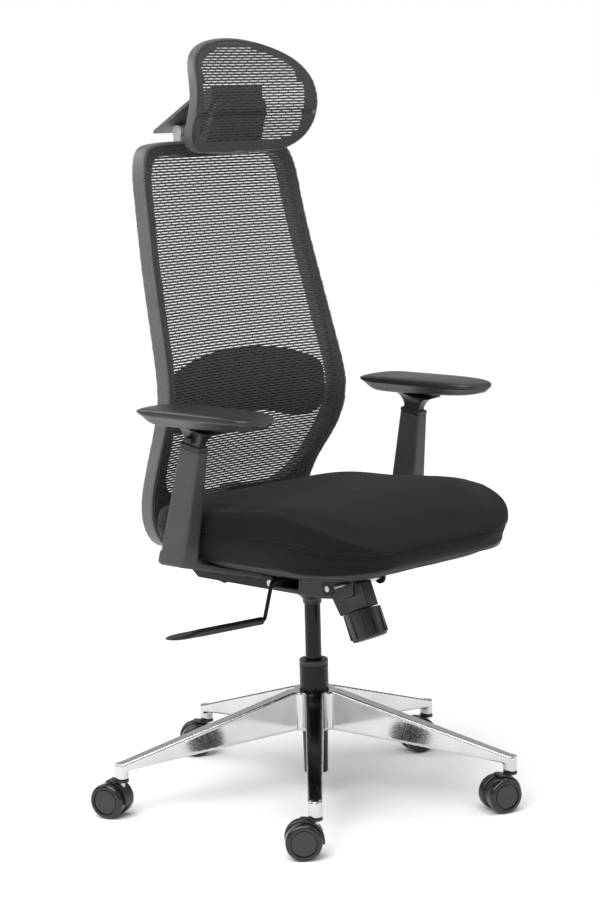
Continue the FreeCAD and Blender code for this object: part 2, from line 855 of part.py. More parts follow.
def make_seat():
    """The pressed plate on the mechanism, the moulded shell, and the cushion on it."""
    low = cell("plate_low")
    top = low + cell("plate_thick")
    pivot_y = cell("seat_pivot_y")
    pivot_z = cell("seat_pivot_z")
    sheet_metal = box("plate_sheet", (-72, 72), (-130, 120), (low, top))
    ears = []
    for sign in (-1, 1):
        near = 62 * sign
        far = 66 * sign
        span = (min(near, far), max(near, far))
        tag = "left" if sign > 0 else "right"
        ears.append(box("ear_" + tag, span, (pivot_y - 12, pivot_y + 12), (pivot_z, low + 1)))
        ears.append(cross_pin("ear_round_" + tag, 12, span, pivot_y, pivot_z))
    screw_spots = [(x, y) for x in (-52, 52) for y in (-62, 96)]
    hole_radius = cell("seat_pivot_radius") + cell("running_gap")
    holes = [cross_pin("ear_hole", hole_radius, (-80, 80), pivot_y, pivot_z)]
    shanks = []
    for i, (x, y) in enumerate(screw_spots):
        holes.append(cylinder("plate_hole_%d" % i, 3, (low - 1, top + 1), x, y))
        head = cylinder("screw_head_%d" % i, 5.5, (low - 3.5, low), x, y)
        shank = cylinder("screw_shank_%d" % i, 3, (low - 3.5, top + 4), x, y)
        shanks.append(fuse("screw_%d" % i, head, shank))
    node(cut("plate", fuse("plate_solid", sheet_metal, *ears), *holes), "seat_plate")
    node(group("screw_set", *shanks), "seat_screws")

    wall = cell("shell_wall")
    front = cell("seat_front") + 10
    rear = cell("seat_rear") - 2
    half = cell("rim_half")
    corner = cell("seat_corner")
    outer = loft("dish", [
        plan_outline("dish_floor", 100, -165, 105, 60, top),
        plan_outline("dish_rim", half, front, rear, corner, cell("rim_low")),
    ])
    band = extrude("band", plan_outline("band_plan", half, front, rear, corner, cell("rim_low")),
                   cell("rim_high") - cell("rim_low"))

    def filling(name):
        """The space inside the shell, which the foam fills."""
        lower = loft(name + "_dish", [
            plan_outline(name + "_floor", 94, -159, 99, 56, top + wall),
            plan_outline(name + "_mid", half - wall, front + wall, rear - wall, corner - wall,
                         cell("rim_low") + 1),
        ])
        upper = extrude(
            name + "_band",
            plan_outline(name + "_plan", half - wall, front + wall, rear - wall, corner - wall,
                         cell("rim_low") + 1),
            cell("rim_high") - cell("rim_low") - 1,
        )
        return fuse(name, lower, upper)

    blind_holes = [
        cylinder("shell_hole_%d" % i, 3, (top - 1, top + 4), x, y) for i, (x, y) in enumerate(screw_spots)
    ]
    shell = cut("shell", fuse("shell_solid", outer, band), filling("shell_room"), *blind_holes)
    node(shell, "seat_shell")

    # The top runs from the back edge to a raised thigh roll and then down over the front.
    top_line = Part.BSplineCurve()
    top_line.interpolate([
        Vector(0, size("seat_rear"), 506),
        Vector(0, 165, 518),
        Vector(0, 60, 530),
        Vector(0, -110, 541),
        Vector(0, -200, 535),
        Vector(0, -262, 512),
        Vector(0, -300, 484),
        Vector(0, size("seat_front"), 464),
    ])
    base = size("rim_high")
    ends = [Vector(0, size("seat_front"), base), Vector(0, size("seat_rear"), base)]
    side = Part.Wire([
        top_line.toShape(),
        Part.makeLine(top_line.EndPoint, ends[0]),
        Part.makeLine(ends[0], ends[1]),
        Part.makeLine(ends[1], top_line.StartPoint),
    ])
    crown = doc.addObject("Part::Feature", "cushion_crown")
    crown.Shape = Part.Face(side).extrude(Vector(2 * size("seat_half"), 0, 0))
    crown.Placement = Placement(Vector(-size("seat_half"), 0, 0), Rotation())
    plan = extrude(
        "cushion_plan",
        plan_outline("cushion_edge", cell("seat_half"), cell("seat_front"), cell("seat_rear"), corner,
                     cell("rim_high")),
        120,
    )
    cushion = fuse("cushion", common("cushion_top", plan, crown), filling("foam"))
    node(cushion, "seat_cushion")


# ---------------------------------------------------------------- arms


def arm_placement(sign, along=0):
    """The arm's own frame: the origin at the top of the upright, +Z along its lean."""
    axis = Vector(size("arm_lean_x") * sign, size("arm_lean_y"), 1).normalize()
    top = Vector(size("arm_x") * sign, size("arm_y"), size("arm_z"))
    return Placement(top + axis * along, Rotation(Vector(0, 0, 1), axis))


def arm_section(name, half_x, half_y, corner, height):
    outline = sketch(name, at=(0, 0, height))
    return rounded_rectangle(outline, (-dim(half_x), half_x), (-dim(half_y), half_y), corner)


def make_arm(side, sign):
    """One L-shaped arm: bracket under the seat, collar, sliding post, button and pad."""
    tag = "_" + side
    upright = loft("upright" + tag, [
        arm_section("upright_low" + tag, 19, 28, 5, -cell("arm_height")),
        arm_section("upright_top" + tag, 12.6, 22, 4.5, 0),
    ])
    gap = cell("slide_gap")
    channel = extrude(
        "channel" + tag,
        arm_section("channel_plan" + tag, cell("post_half_x") + gap, cell("post_half_y") + gap, 4, -168),
        175,
    )
    sleeve = cut("sleeve" + tag, upright, channel)
    doc.recompute()
    sleeve.Placement = arm_placement(sign)
    foot_front = 5
    foot_depth = 56
    foot_line = [
        (302, 470), (302, 454), (295.5, 447), (110, 400.5), (110, 409.5), (246, 446), (262, 454), (262, 470),
    ]
    outline = sketch("foot_outline" + tag, turn=UPRIGHT_XZ, at=(0, foot_front + foot_depth, 0))
    polygon(outline, [(dim(x) * sign, z) for x, z in foot_line])
    foot = rounded(
        "foot" + tag, extrude("foot_plain" + tag, outline, foot_depth), 4,
        lambda edge: abs(edge.BoundBox.YLength) < 0.01 and abs(edge.CenterOfMass.x) > 263
        and abs(edge.CenterOfMass.x) < 303 and edge.CenterOfMass.z < 452,
    )
    node(fuse("bracket" + tag, sleeve, foot), "arm_bracket" + tag)

    ring = extrude("collar_ring" + tag, arm_section("collar_plan" + tag, 12.9, 22.4, 5, 0.2), 7)
    lip = rounded("collar_lip" + tag, ring, 1.6, lambda edge: edge.BoundBox.ZMin > 7)
    hole = extrude(
        "collar_hole" + tag,
        arm_section("collar_inner" + tag, cell("post_half_x") + gap, cell("post_half_y") + gap, 4, -1),
        10,
    )
    collar = cut("collar" + tag, lip, hole)
    doc.recompute()
    collar.Placement = arm_placement(sign)
    node(collar, "arm_collar" + tag)

    post_low = extrude(
        "post_bar" + tag, arm_section("post_plan" + tag, cell("post_half_x"), cell("post_half_y"),
        4, -150), 162,
    )
    post_top = loft("post_flare" + tag, [
        arm_section("flare_low" + tag, cell("post_half_x"), cell("post_half_y"), 4, 12),
        arm_section("flare_mid" + tag, 11, 22, 5, 22),
        arm_section("flare_top" + tag, 25, 44, 10, 37),
    ])
    button_low = 13
    button_high = 21
    pocket = box(
        "button_pocket" + tag, (4, 40) if sign > 0 else (-40, -4), (-7.3, 7.3),
        (button_low - 0.3, button_high + 0.3),
    )
    post = cut("post" + tag, fuse("post_solid" + tag, post_low, post_top), pocket)
    doc.recompute()
    post.Placement = arm_placement(sign)
    node(post, "arm_post" + tag)

    button_solid = box(
        "button_bar" + tag, (8.5, 19) if sign > 0 else (-19, -8.5), (-7, 7), (button_low, button_high),
    )
    button = rounded(
        "button" + tag, button_solid, 1.8,
        lambda edge: abs(edge.CenterOfMass.x) > 18.5,
    )
    doc.recompute()
    button.Placement = arm_placement(sign)
    node(button, "arm_button" + tag)

    pad_side = side_plate("pad_side" + tag, [
        (92, 700), (80, 705), (-110, 708), (-150, 704.5), (-164, 698), (-166, 692), (-156, 685.5),
        (-120, 681), (-50, 678), (66, 677),
    ], cell("pad_half") + 5)
    pad_outline = sketch("pad_plan" + tag, at=(0, 0, 670))
    rounded_rectangle(pad_outline, (-cell("pad_half"), cell("pad_half")), (-166, 92), 34)
    pad_block = extrude("pad_block" + tag, pad_outline, 45)
    rear_outline = sketch("pad_rear" + tag, at=(0, 0, 670))
    rounded_rectangle(rear_outline, (-cell("pad_half"), cell("pad_half")), (0, 92), 10)
    rear_block = extrude("pad_rear_block" + tag, rear_outline, 45)
    pad = common("pad" + tag, fuse("pad_plan_solid" + tag, pad_block, rear_block), pad_side)
    doc.recompute()
    pad.Placement = Placement(Vector(size("arm_x") * sign, 0, 0), Rotation())
    post_cut = doc.addObject("Part::Cut", "pad_seat" + tag)
    post_cut.Base = pad
    post_cut.Tool = post
    node(post_cut, "arm_pad" + tag)


# ---------------------------------------------------------------- back

# Height and depth of the frame's front edge at its sides.
BACK_LINE = [
    (420, 194), (484, 190), (540, 176), (600, 146), (640, 128), (700, 115.5), (760, 123.5),
    (840, 142), (960, 168.5), (1080, 188.6), (1140, 197.5),
]
# Right half of the frame's outer and inner outlines, from bottom centre to top centre.
BACK_OUTER = [
    (0, 430), (90, 430), (146, 437), (180, 471), (203, 556), (217, 612), (219.5, 680), (213, 750),
    (202, 880), (188, 1040), (181, 1092), (166, 1118), (135, 1127), (70, 1129.5), (0, 1130),
]
BACK_INNER = [
    (0, 519), (80, 519.5), (132, 524), (164, 550), (184, 606), (195, 680), (189, 760), (177, 900),
    (163, 1050), (157, 1084), (144, 1101), (115, 1105), (60, 1106.5), (0, 1107),
]
HEAD_LINE = [
    (1100, 154), (1130, 147.4), (1160, 135.4), (1190, 126.8), (1210, 126.4), (1235, 131.7),
    (1265, 145.3), (1310, 172),
]
HEAD_OUTER = [
    (0, 1108), (70, 1109), (112, 1115), (137, 1133), (147, 1165), (145, 1200), (139, 1234), (121, 1264),
    (90, 1284), (48, 1297), (0, 1302),
]


def ring_face(points):
    """The face inside a smooth closed outline that is the same left and right."""
    right = [Vector(x, 0, z) for x, z in points]
    left = [Vector(-x, 0, z) for x, z in reversed(points[1:-1])]
    curve = Part.BSplineCurve()
    curve.interpolate(Points=right + left, PeriodicFlag=True)
    return Part.Face(Part.Wire([curve.toShape()]))


def inset(points, distance):
    """A half outline moved inward by one distance all round."""
    moved = []
    for i, (x, z) in enumerate(points):
        before = points[max(i - 1, 0)]
        after = points[min(i + 1, len(points) - 1)]
        run = Vector(after[0] - before[0], 0, after[1] - before[1])
        if i in (0, len(points) - 1):
            run.z = 0
        run.normalize()
        moved.append((x - run.z * distance, z + run.x * distance))
    return moved


def curved_slab(line, near, far, axis):
    """The layer between two depths behind a profile line, bent about an upright axis."""
    front = Part.BSplineCurve()
    front.interpolate([Vector(0, y + near, z) for z, y in line])
    back = Part.BSplineCurve()
    back.interpolate([Vector(0, y + far, z) for z, y in line])
    closed = Part.Wire([
        front.toShape(),
        Part.makeLine(front.EndPoint, back.EndPoint),
        back.toShape(),
        Part.makeLine(back.StartPoint, front.StartPoint),
    ])
    face = Part.Face(closed)
    centre = Vector(0, axis, 0)
    face.rotate(centre, Vector(0, 0, 1), -30)
    return face.revolve(centre, Vector(0, 0, 1), 60)


def prism_of(face):
    """An outline pushed right through the back's depth."""
    moved = face.copy()
    moved.translate(Vector(0, -50, 0))
    return moved.extrude(Vector(0, 500, 0))


def cut_to(slab, face):
    """The part of a curved slab that lies behind a flat outline."""
    return slab.common(prism_of(face))


def framed(slab, outer, inner):
    """The part of a curved slab between two flat outlines."""
    return cut_to(slab, outer).cut(prism_of(inner))


def solid_feature(name, shape, label):
    obj = doc.addObject("Part::Feature", name)
    if len(shape.Solids) == 1:
        shape = shape.Solids[0]
    obj.Shape = shape
    obj.Placement = Placement()
    return node(obj, label)


def make_back():
    """The frame, the mesh stretched in it, the lumbar pad behind it and the carrier bar."""
    line = [(z, y + size("back_sag")) for z, y in BACK_LINE]
    axis = size("back_axis")
    depth = size("frame_depth")
    inner = ring_face(BACK_INNER)
    frame = framed(curved_slab(line, 0, depth, axis), ring_face(BACK_OUTER), inner)
    solid_feature("frame_ring", frame, "back_frame")

    mesh_near = size("mesh_inset")
    mesh = cut_to(curved_slab(line, mesh_near, mesh_near + size("mesh_thick"), axis), inner)
    solid_feature("mesh_panel", mesh, "back_mesh")

    lumbar_line = [
        (0, 640), (120, 640), (176, 643), (189, 655), (189, 690), (182, 731), (150, 750), (85, 766), (0, 773),
    ]
    lumbar_near = size("lumbar_inset")
    lumbar = cut_to(
        curved_slab(line, lumbar_near, lumbar_near + size("lumbar_thick"), axis), ring_face(lumbar_line),
    )
    solid_feature("lumbar_panel", lumbar, "lumbar_pad")

    pivot_y = cell("back_pivot_y")
    pivot_z = cell("back_pivot_z")
    arms = []
    for tag, span in (("right", (-57, -45)), ("left", (45, 57))):
        arms.append(box("fork_" + tag, span, (pivot_y, 112), (pivot_z - 11, pivot_z + 11)))
        arms.append(cross_pin("fork_round_" + tag, 11, span, pivot_y, pivot_z))
    spine = side_plate("spine", [
        (104, 367), (222, 367), (248, 386), (253, 404), (249, 512), (241.5, 512), (239, 470),
        (239, 404), (222, 389),
        (104, 389),
    ], 57)
    keel = side_plate("keel", [
        (203, 351), (226, 356), (262, 378), (266, 410), (262, 480), (249, 496), (240, 420),
        (222, 386), (203, 380),
    ], 13)
    screw_spots = [(x, z) for x in (-36, 36) for z in (448, 492)]
    pivot_hole = cross_pin(
        "fork_hole", cell("back_pivot_radius") + cell("running_gap"), (-60, 60), pivot_y, pivot_z,
    )
    frame_tool = doc.addObject("Part::Feature", "frame_tool")
    frame_tool.Shape = curved_slab(line, 0, depth, axis)
    screws = []
    holes = []
    frame_rear = 231
    for i, (x, z) in enumerate(screw_spots):
        for kind, radius, start, end in (("shank", 3, frame_rear, 258), ("head", 6, 253.5, 258)):
            bar = doc.addObject("Part::Cylinder", "back_%s_%d" % (kind, i))
            bar.Radius = radius
            bar.Height = end - start
            bar.Placement = Placement(Vector(x, end, z), UPRIGHT_XZ)
            screws.append(bar)
            if kind == "shank":
                holes.append(bar)
    carrier = cut("carrier", fuse("carrier_solid", spine, keel, *arms), frame_tool, pivot_hole, *holes)
    node(carrier, "back_bar")
    heads = []
    for i in range(len(screw_spots)):
        screw_solid = fuse("back_screw_solid_%d" % i, screws[2 * i], screws[2 * i + 1])
        heads.append(cut("back_screw_%d" % i, screw_solid, frame_tool))
    node(group("back_screw_set", *heads), "back_screws")


def make_headrest():
    """The socket on the back, the post in it, and the headrest on its hinge."""
    line = HEAD_LINE
    axis = size("head_axis")
    depth = size("head_depth")
    inner_line = inset(HEAD_OUTER, 9)
    inner = ring_face(inner_line)
    ring = framed(curved_slab(line, 0, depth, axis), ring_face(HEAD_OUTER), inner)
    solid_feature("head_ring", ring, "headrest_frame")
    near = size("head_mesh_inset")
    mesh = cut_to(curved_slab(line, near, near + size("mesh_thick"), axis), inner)
    solid_feature("head_panel", mesh, "headrest_mesh")

    pivot_y = cell("head_pivot_y")
    pivot_z = cell("head_pivot_z")
    plate_line = [(0, 1109), (52, 1110), (63, 1119), (64, 1150), (60, 1188), (48, 1203), (0, 1206)]
    plate = doc.addObject("Part::Feature", "wing_plate")
    plate.Shape = cut_to(curved_slab(line, depth, depth + 6, axis), ring_face(plate_line)).Solids[0]
    wing = side_plate("wing", [
        (148, 1221), (203, 1201), (297, 1148.5), (299, 1145), (296, 1142.5), (205, 1193.6),
        (162, 1180), (148, 1196),
    ], 60)
    behind = doc.addObject("Part::Feature", "wing_room")
    behind.Shape = curved_slab(line, -40, depth, axis)
    lug_half = 18
    lug = cross_pin("lug_round", 9, (-lug_half, lug_half), pivot_y, pivot_z)
    lug_block = side_plate("lug_block", [
        (258, 1141), (274, 1141), (274, 1158), (262, 1166), (240, 1176), (236, 1172),
    ], lug_half)
    pin_hole = cross_pin(
        "lug_hole", cell("head_pin_radius") + cell("running_gap"), (-lug_half - 1, lug_half + 1),
        pivot_y, pivot_z,
    )
    solid = fuse("head_arm_solid", plate, wing, lug, lug_block)
    node(cut("head_arm", solid, pin_hole, behind), "headrest_arm")

    cheeks = []
    for tag, span in (("right", (-35, -19)), ("left", (19, 35))):
        cheeks.append(cross_pin("cheek_" + tag, cell("cheek_radius"), span, pivot_y, pivot_z))
        cheeks.append(box("cheek_leg_" + tag, span, (pivot_y - 9, pivot_y + 9), (1128, pivot_z)))
    blade = box("blade", (-30, 30), (pivot_y - 7, pivot_y + 7), (1104, 1131))
    cross_hole = cross_pin("cheek_hole", cell("head_pin_radius"), (-33, 33), pivot_y, pivot_z)
    node(cut("post_fork", fuse("post_fork_solid", blade, *cheeks), cross_hole), "headrest_post")
    node(cross_pin("head_pin", cell("head_pin_radius"), (-33, 33), pivot_y, pivot_z), "headrest_pin")

    back_line = [(z, y + size("back_sag")) for z, y in BACK_LINE]
    block = box("socket_block", (-44, 44), (212, 282), (1101, 1127))
    soft = rounded(
        "socket_soft", block, 5,
        lambda edge: edge.BoundBox.ZLength > 20 and edge.CenterOfMass.y > 250,
    )
    slot = box("socket_slot", (-30, 30), (pivot_y - 7, pivot_y + 7), (1104, 1128))
    front = doc.addObject("Part::Feature", "socket_front")
    front.Shape = curved_slab(back_line, -60, size("frame_depth"), size("back_axis"))
    node(cut("socket", soft, slot, front), "headrest_socket")


# ---------------------------------------------------------------- build and write

make_base_star()
make_column()
make_mechanism()
make_knob()
make_lever()
make_seat()
for side, sign in (("left", 1), ("right", -1)):
    make_arm(side, sign)
make_back()
make_headrest()
for number, axle_angle in enumerate(CASTER_AXLES):
    make_caster(number, axle_angle)
doc.recompute()

problems = []
for obj in doc.Objects:
    if "Invalid" in obj.State or "Error" in obj.State:
        problems.append("%s: %s" % (obj.Label, obj.State))
for obj in nodes:
    if obj.Shape.isNull() or not obj.Shape.isValid() or not obj.Shape.Solids:
        problems.append("%s has no valid shape" % obj.Label)
if problems:
    raise ValueError("\n".join(problems))

os.makedirs("parts", exist_ok=True)
for obj in nodes:
    obj.Shape.exportStep(os.path.join("parts", obj.Label + ".step"))
print(len(nodes), "sub-parts written")
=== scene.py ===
import json
import math

import bmesh
import bpy
from mathutils import Matrix, Vector
from mathutils.bvhtree import BVHTree


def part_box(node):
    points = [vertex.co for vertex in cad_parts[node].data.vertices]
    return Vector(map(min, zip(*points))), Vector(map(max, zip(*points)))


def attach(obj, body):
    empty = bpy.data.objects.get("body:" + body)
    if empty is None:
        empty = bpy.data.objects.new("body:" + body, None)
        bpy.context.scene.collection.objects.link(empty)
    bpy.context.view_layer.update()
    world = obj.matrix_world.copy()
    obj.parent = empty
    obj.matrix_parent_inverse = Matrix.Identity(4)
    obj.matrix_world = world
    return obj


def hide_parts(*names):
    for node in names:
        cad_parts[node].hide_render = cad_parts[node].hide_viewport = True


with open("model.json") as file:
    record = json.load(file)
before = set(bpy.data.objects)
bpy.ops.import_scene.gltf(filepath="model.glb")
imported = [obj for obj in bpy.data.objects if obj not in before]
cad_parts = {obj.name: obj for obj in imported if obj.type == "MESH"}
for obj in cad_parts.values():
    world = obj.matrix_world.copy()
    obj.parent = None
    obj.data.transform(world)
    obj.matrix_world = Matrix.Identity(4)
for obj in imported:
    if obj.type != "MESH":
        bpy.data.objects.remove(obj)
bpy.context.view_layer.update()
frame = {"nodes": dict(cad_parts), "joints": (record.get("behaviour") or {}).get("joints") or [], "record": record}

MM = 0.001
# The upright axes that the back and the headrest are bent about.
BACK_AXIS_Y = -0.900
HEAD_AXIS_Y = -0.250
# The tension knob leans back by this angle.
KNOB_TILT = math.radians(22.4)
KNOB_AXIS = Vector((0, math.sin(KNOB_TILT), math.cos(KNOB_TILT)))
KNOB_WIDENING = 1.09
# The net: from thread to thread, from bridge to bridge, a thread's height and a bridge's width.
NET_PITCH = 4.7 * MM
NET_PERIOD = 20 * MM
NET_THREAD = 3.3 * MM
NET_BRIDGE = 0.8 * MM
# The cushion is widest at this height.
SEAT_BELT = 0.492


# ---------------------------------------------------------------- materials


class Shader:
    """A Principled material whose node links are made by name."""

    def __init__(self, name, **settings):
        self.material = bpy.data.materials.new(name)
        self.material.use_nodes = True
        self.tree = self.material.node_tree
        self.surface = self.tree.nodes["Principled BSDF"]
        for key, value in settings.items():
            self.surface.inputs[key.replace("_", " ")].default_value = value
        self.where = self.tree.nodes.new("ShaderNodeTexCoord").outputs["Object"]

    def node(self, kind, **values):
        made = self.tree.nodes.new(kind)
        for key, value in values.items():
            if hasattr(made, key):
                setattr(made, key, value)
                continue
            socket = made.inputs[key.replace("_", " ")]
            if isinstance(value, bpy.types.NodeSocket):
                self.tree.links.new(value, socket)
            else:
                socket.default_value = value
        return made

    def link(self, source, target):
        self.tree.links.new(source, self.surface.inputs[target])

    def noise(self, scale, detail=3.0, rough=0.55):
        return self.node(
            "ShaderNodeTexNoise", Vector=self.where, Scale=scale, Detail=detail, Roughness=rough
        ).outputs["Fac"]

    def wave(self, scale, direction, distortion=0.0, where=None):
        return self.node(
            "ShaderNodeTexWave", Vector=where or self.where, Scale=scale, bands_direction=direction,
            Distortion=distortion,
        ).outputs["Fac"]

    def math(self, operation, first, second=0.0):
        made = self.tree.nodes.new("ShaderNodeMath")
        made.operation = operation
        for socket, value in zip(made.inputs, (first, second)):
            if isinstance(value, bpy.types.NodeSocket):
                self.tree.links.new(value, socket)
            else:
                socket.default_value = value
        return made.outputs[0]

    def ramp(self, factor, low, high, start=0.0, end=1.0):
        """A number that runs from low to high as the factor runs from start to end."""
        made = self.node(
            "ShaderNodeMapRange", Value=factor, From_Min=start, From_Max=end, To_Min=low, To_Max=high
        )
        return made.outputs["Result"]

    def tint(self, factor, dark, light, start=0.3, end=0.7):
        """A colour between dark and light."""
        made = self.node("ShaderNodeValToRGB", Fac=factor)
        made.color_ramp.elements[0].position = start
        made.color_ramp.elements[0].color = (*dark, 1)
        made.color_ramp.elements[1].position = end
        made.color_ramp.elements[1].color = (*light, 1)
        self.link(made.outputs["Color"], "Base Color")

    def bump(self, height, depth, strength=1.0):
        made = self.node("ShaderNodeBump", Height=height, Distance=depth, Strength=strength)
        self.link(made.outputs["Normal"], "Normal")


def grey(value, warm=0.0):
    return (value * (1 + warm), value, value * (1 - warm))


def moulded(name, shade, roughness, speckle=0.25, grain=1400.0, depth=0.12 * MM, coat=0.0):
    """Moulded plastic: a fine speckled grain, with slow changes of gloss."""
    shader = Shader(name, Specular_IOR_Level=0.5, Coat_Weight=coat, Coat_Roughness=0.2)
    fine = shader.noise(grain, 2.0)
    slow = shader.noise(14.0, 3.0)
    mixed = shader.math("ADD", shader.math("MULTIPLY", fine, 0.75), shader.math("MULTIPLY", slow, 0.25))
    shader.tint(mixed, grey(shade * (1 - speckle)), grey(shade * (1 + speckle)), 0.38, 0.62)
    shader.link(shader.ramp(slow, roughness - 0.05, roughness + 0.06, 0.3, 0.7), "Roughness")
    shader.bump(fine, depth)
    return shader.material


def polished(name):
    """Die-cast metal, ground and polished by hand, so that its faces are very slightly wavy."""
    shader = Shader(name, Metallic=1.0)
    slow = shader.noise(9.0, 2.0)
    fine = shader.noise(420.0, 4.0)
    shader.tint(slow, grey(0.52), grey(0.64))
    shader.link(shader.ramp(fine, 0.07, 0.16, 0.35, 0.65), "Roughness")
    shader.bump(slow, 0.8 * MM, 0.5)
    return shader.material


def bare_metal(name, shade, roughness):
    """Turned or drawn steel with fine marks along it."""
    shader = Shader(name, Metallic=1.0)
    marks = shader.wave(900.0, "Z", 3.0)
    shader.tint(marks, grey(shade * 0.85), grey(shade))
    shader.link(shader.ramp(marks, roughness - 0.04, roughness + 0.06), "Roughness")
    shader.bump(marks, 0.02 * MM)
    return shader.material


def painted(name, shade, roughness):
    """Black enamel with a slight orange peel under a clear coat."""
    shader = Shader(name, Coat_Weight=0.12, Coat_Roughness=0.1, Specular_IOR_Level=0.15)
    peel = shader.noise(260.0, 2.0)
    shader.tint(peel, grey(shade * 0.8), grey(shade * 1.2))
    shader.link(shader.ramp(peel, roughness - 0.04, roughness + 0.04), "Roughness")
    shader.bump(peel, 0.05 * MM)
    return shader.material


def woven(name, shade):
    """Upholstery fabric: threads both ways at about one millimetre, with a soft sheen."""
    shader = Shader(name, Sheen_Weight=0.06, Sheen_Roughness=0.5, Specular_IOR_Level=0.12)
    across = shader.wave(330.0, "X", 0.6)
    along = shader.wave(330.0, "Y", 0.6)
    upright = shader.wave(330.0, "Z", 0.6)
    weave = shader.math("MULTIPLY", shader.math("ADD", across, upright), shader.math("ADD", along, upright))
    weave = shader.math("MULTIPLY", weave, 0.25)
    slub = shader.noise(55.0, 4.0)
    mixed = shader.math("ADD", shader.math("MULTIPLY", weave, 0.6), shader.math("MULTIPLY", slub, 0.4))
    shader.tint(mixed, grey(shade * 0.55), grey(shade * 1.5), 0.2, 0.7)
    shader.link(shader.ramp(slub, 0.78, 0.92), "Roughness")
    shader.bump(weave, 0.25 * MM, 0.8)
    return shader.material


def yarn(name, shade):
    """The net's twisted threads."""
    shader = Shader(name, Sheen_Weight=0.05, Sheen_Roughness=0.4, Specular_IOR_Level=0.25)
    twist = shader.wave(500.0, "DIAGONAL", 1.5)
    slow = shader.noise(30.0, 3.0)
    mixed = shader.math("ADD", shader.math("MULTIPLY", twist, 0.5), shader.math("MULTIPLY", slow, 0.5))
    shader.tint(mixed, grey(shade * 0.7), grey(shade * 1.35), 0.25, 0.75)
    shader.link(shader.ramp(slow, 0.5, 0.7), "Roughness")
    shader.bump(twist, 0.15 * MM)
    return shader.material


def floor_paper(name):
    shader = Shader(name, Roughness=0.9, Specular_IOR_Level=0.1)
    shader.tint(shader.noise(3.0, 4.0), grey(0.88), grey(0.92))
    return shader.material


FRAME_PLASTIC = moulded("frame_plastic", 0.085, 0.38, 0.12, 1200.0, 0.05 * MM)
ARM_PLASTIC = moulded("arm_plastic", 0.04, 0.5, 0.45, 900.0, 0.15 * MM)
POST_PLASTIC = moulded("post_plastic", 0.02, 0.35, 0.15)
PAD_SKIN = moulded("pad_skin", 0.018, 0.34, 0.15, 1800.0, 0.06 * MM)
BLACK_PLASTIC = moulded("black_plastic", 0.012, 0.38, 0.2)
SHELL_PLASTIC = moulded("shell_plastic", 0.016, 0.42, 0.2)
LIGHT_PLASTIC = moulded("light_plastic", 0.5, 0.4, 0.05)
TREAD = moulded("tread", 0.01, 0.18, 0.15, 700.0, 0.04 * MM)
DISC = moulded("disc", 0.025, 0.5, 0.2, 1500.0)
POLISHED = polished("polished")
STEEL = bare_metal("steel", 0.6, 0.25)
DARK_STEEL = painted("dark_steel", 0.012, 0.38)
CYLINDER = painted("cylinder", 0.006, 0.24)
SEAT_FABRIC = woven("seat_fabric", 0.007)
THREAD = woven("thread", 0.02)
NET_YARN = yarn("net_yarn", 0.036)
PAPER = floor_paper("paper")


# ---------------------------------------------------------------- mesh helpers


def give(obj, material):
    obj.data.materials.clear()
    obj.data.materials.append(material)
    return obj


def new_object(name, verts, faces, material, smooth=True):
    mesh = bpy.data.meshes.new(name)
    mesh.from_pydata(verts, [], faces)
    mesh.update()
    if smooth:
        mesh.shade_smooth()
    obj = bpy.data.objects.new(name, mesh)
    bpy.context.scene.collection.objects.link(obj)
    return give(obj, material)


def copy_of(node, name, flat_angle=1.0):
    """A copy of a CAD node's mesh, with doubles merged and flat faces made whole."""
    source = frame["nodes"][node]
    mesh = source.data.copy()
    mesh.name = name
    for attribute in [a.name for a in mesh.attributes if a.name == "custom_normal"]:
        mesh.attributes.remove(mesh.attributes[attribute])
    work = bmesh.new()
    work.from_mesh(mesh)
    bmesh.ops.remove_doubles(work, verts=work.verts, dist=0.01 * MM)
    if flat_angle:
        bmesh.ops.dissolve_limit(
            work, angle_limit=math.radians(flat_angle), verts=work.verts, edges=work.edges, delimit=set()
        )
    work.to_mesh(mesh)
    work.free()
    obj = bpy.data.objects.new(name, mesh)
    bpy.context.scene.collection.objects.link(obj)
    return obj


def stand_in(obj, nodes):
    """obj takes the nodes' place on their body."""
    nodes = [nodes] if isinstance(nodes, str) else nodes
    bodies = frame["record"]["behaviour"]["bodies"]
    body = [name for name, members in bodies.items() if nodes[0] in members][0]
    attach(obj, body)
    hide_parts(*nodes)
    return obj


def bevelled(node, width, material, segments=3, sharp=30, name=None):
    """A CAD piece with its sharp edges rounded."""
    obj = copy_of(node, name or node + "_shape")
    give(obj, material)
    edge = obj.modifiers.new("edge", "BEVEL")
    edge.width = width
    edge.segments = segments
    edge.limit_method = "ANGLE"
    edge.angle_limit = math.radians(sharp)
    edge.harden_normals = False
    edge.miter_outer = "MITER_ARC"
    obj.data.shade_smooth()
    obj.data.set_sharp_from_angle(angle=math.radians(32))
    return stand_in(obj, node)


def remeshed(node, voxel, rounds, material, name=None):
    """A CAD piece melted slightly, so that every edge is round."""
    obj = copy_of(node, name or node + "_shape", 0)
    give(obj, material)
    grid = obj.modifiers.new("grid", "REMESH")
    grid.mode = "VOXEL"
    grid.voxel_size = voxel
    grid.use_smooth_shade = True
    melt = obj.modifiers.new("melt", "SMOOTH")
    melt.factor = 0.5
    melt.iterations = rounds
    return stand_in(obj, node)


def freeze(obj):
    """The modifiers' result, kept as the mesh."""
    graph = bpy.context.evaluated_depsgraph_get()
    mesh = bpy.data.meshes.new_from_object(obj.evaluated_get(graph))
    obj.modifiers.clear()
    obj.data = mesh
    return obj


def tree_of(*nodes):
    verts = []
    faces = []
    for name in nodes:
        mesh = frame["nodes"][name].data
        first = len(verts)
        verts += [v.co.copy() for v in mesh.vertices]
        faces += [[first + i for i in face.vertices] for face in mesh.polygons]
    return BVHTree.FromPolygons(verts, faces)


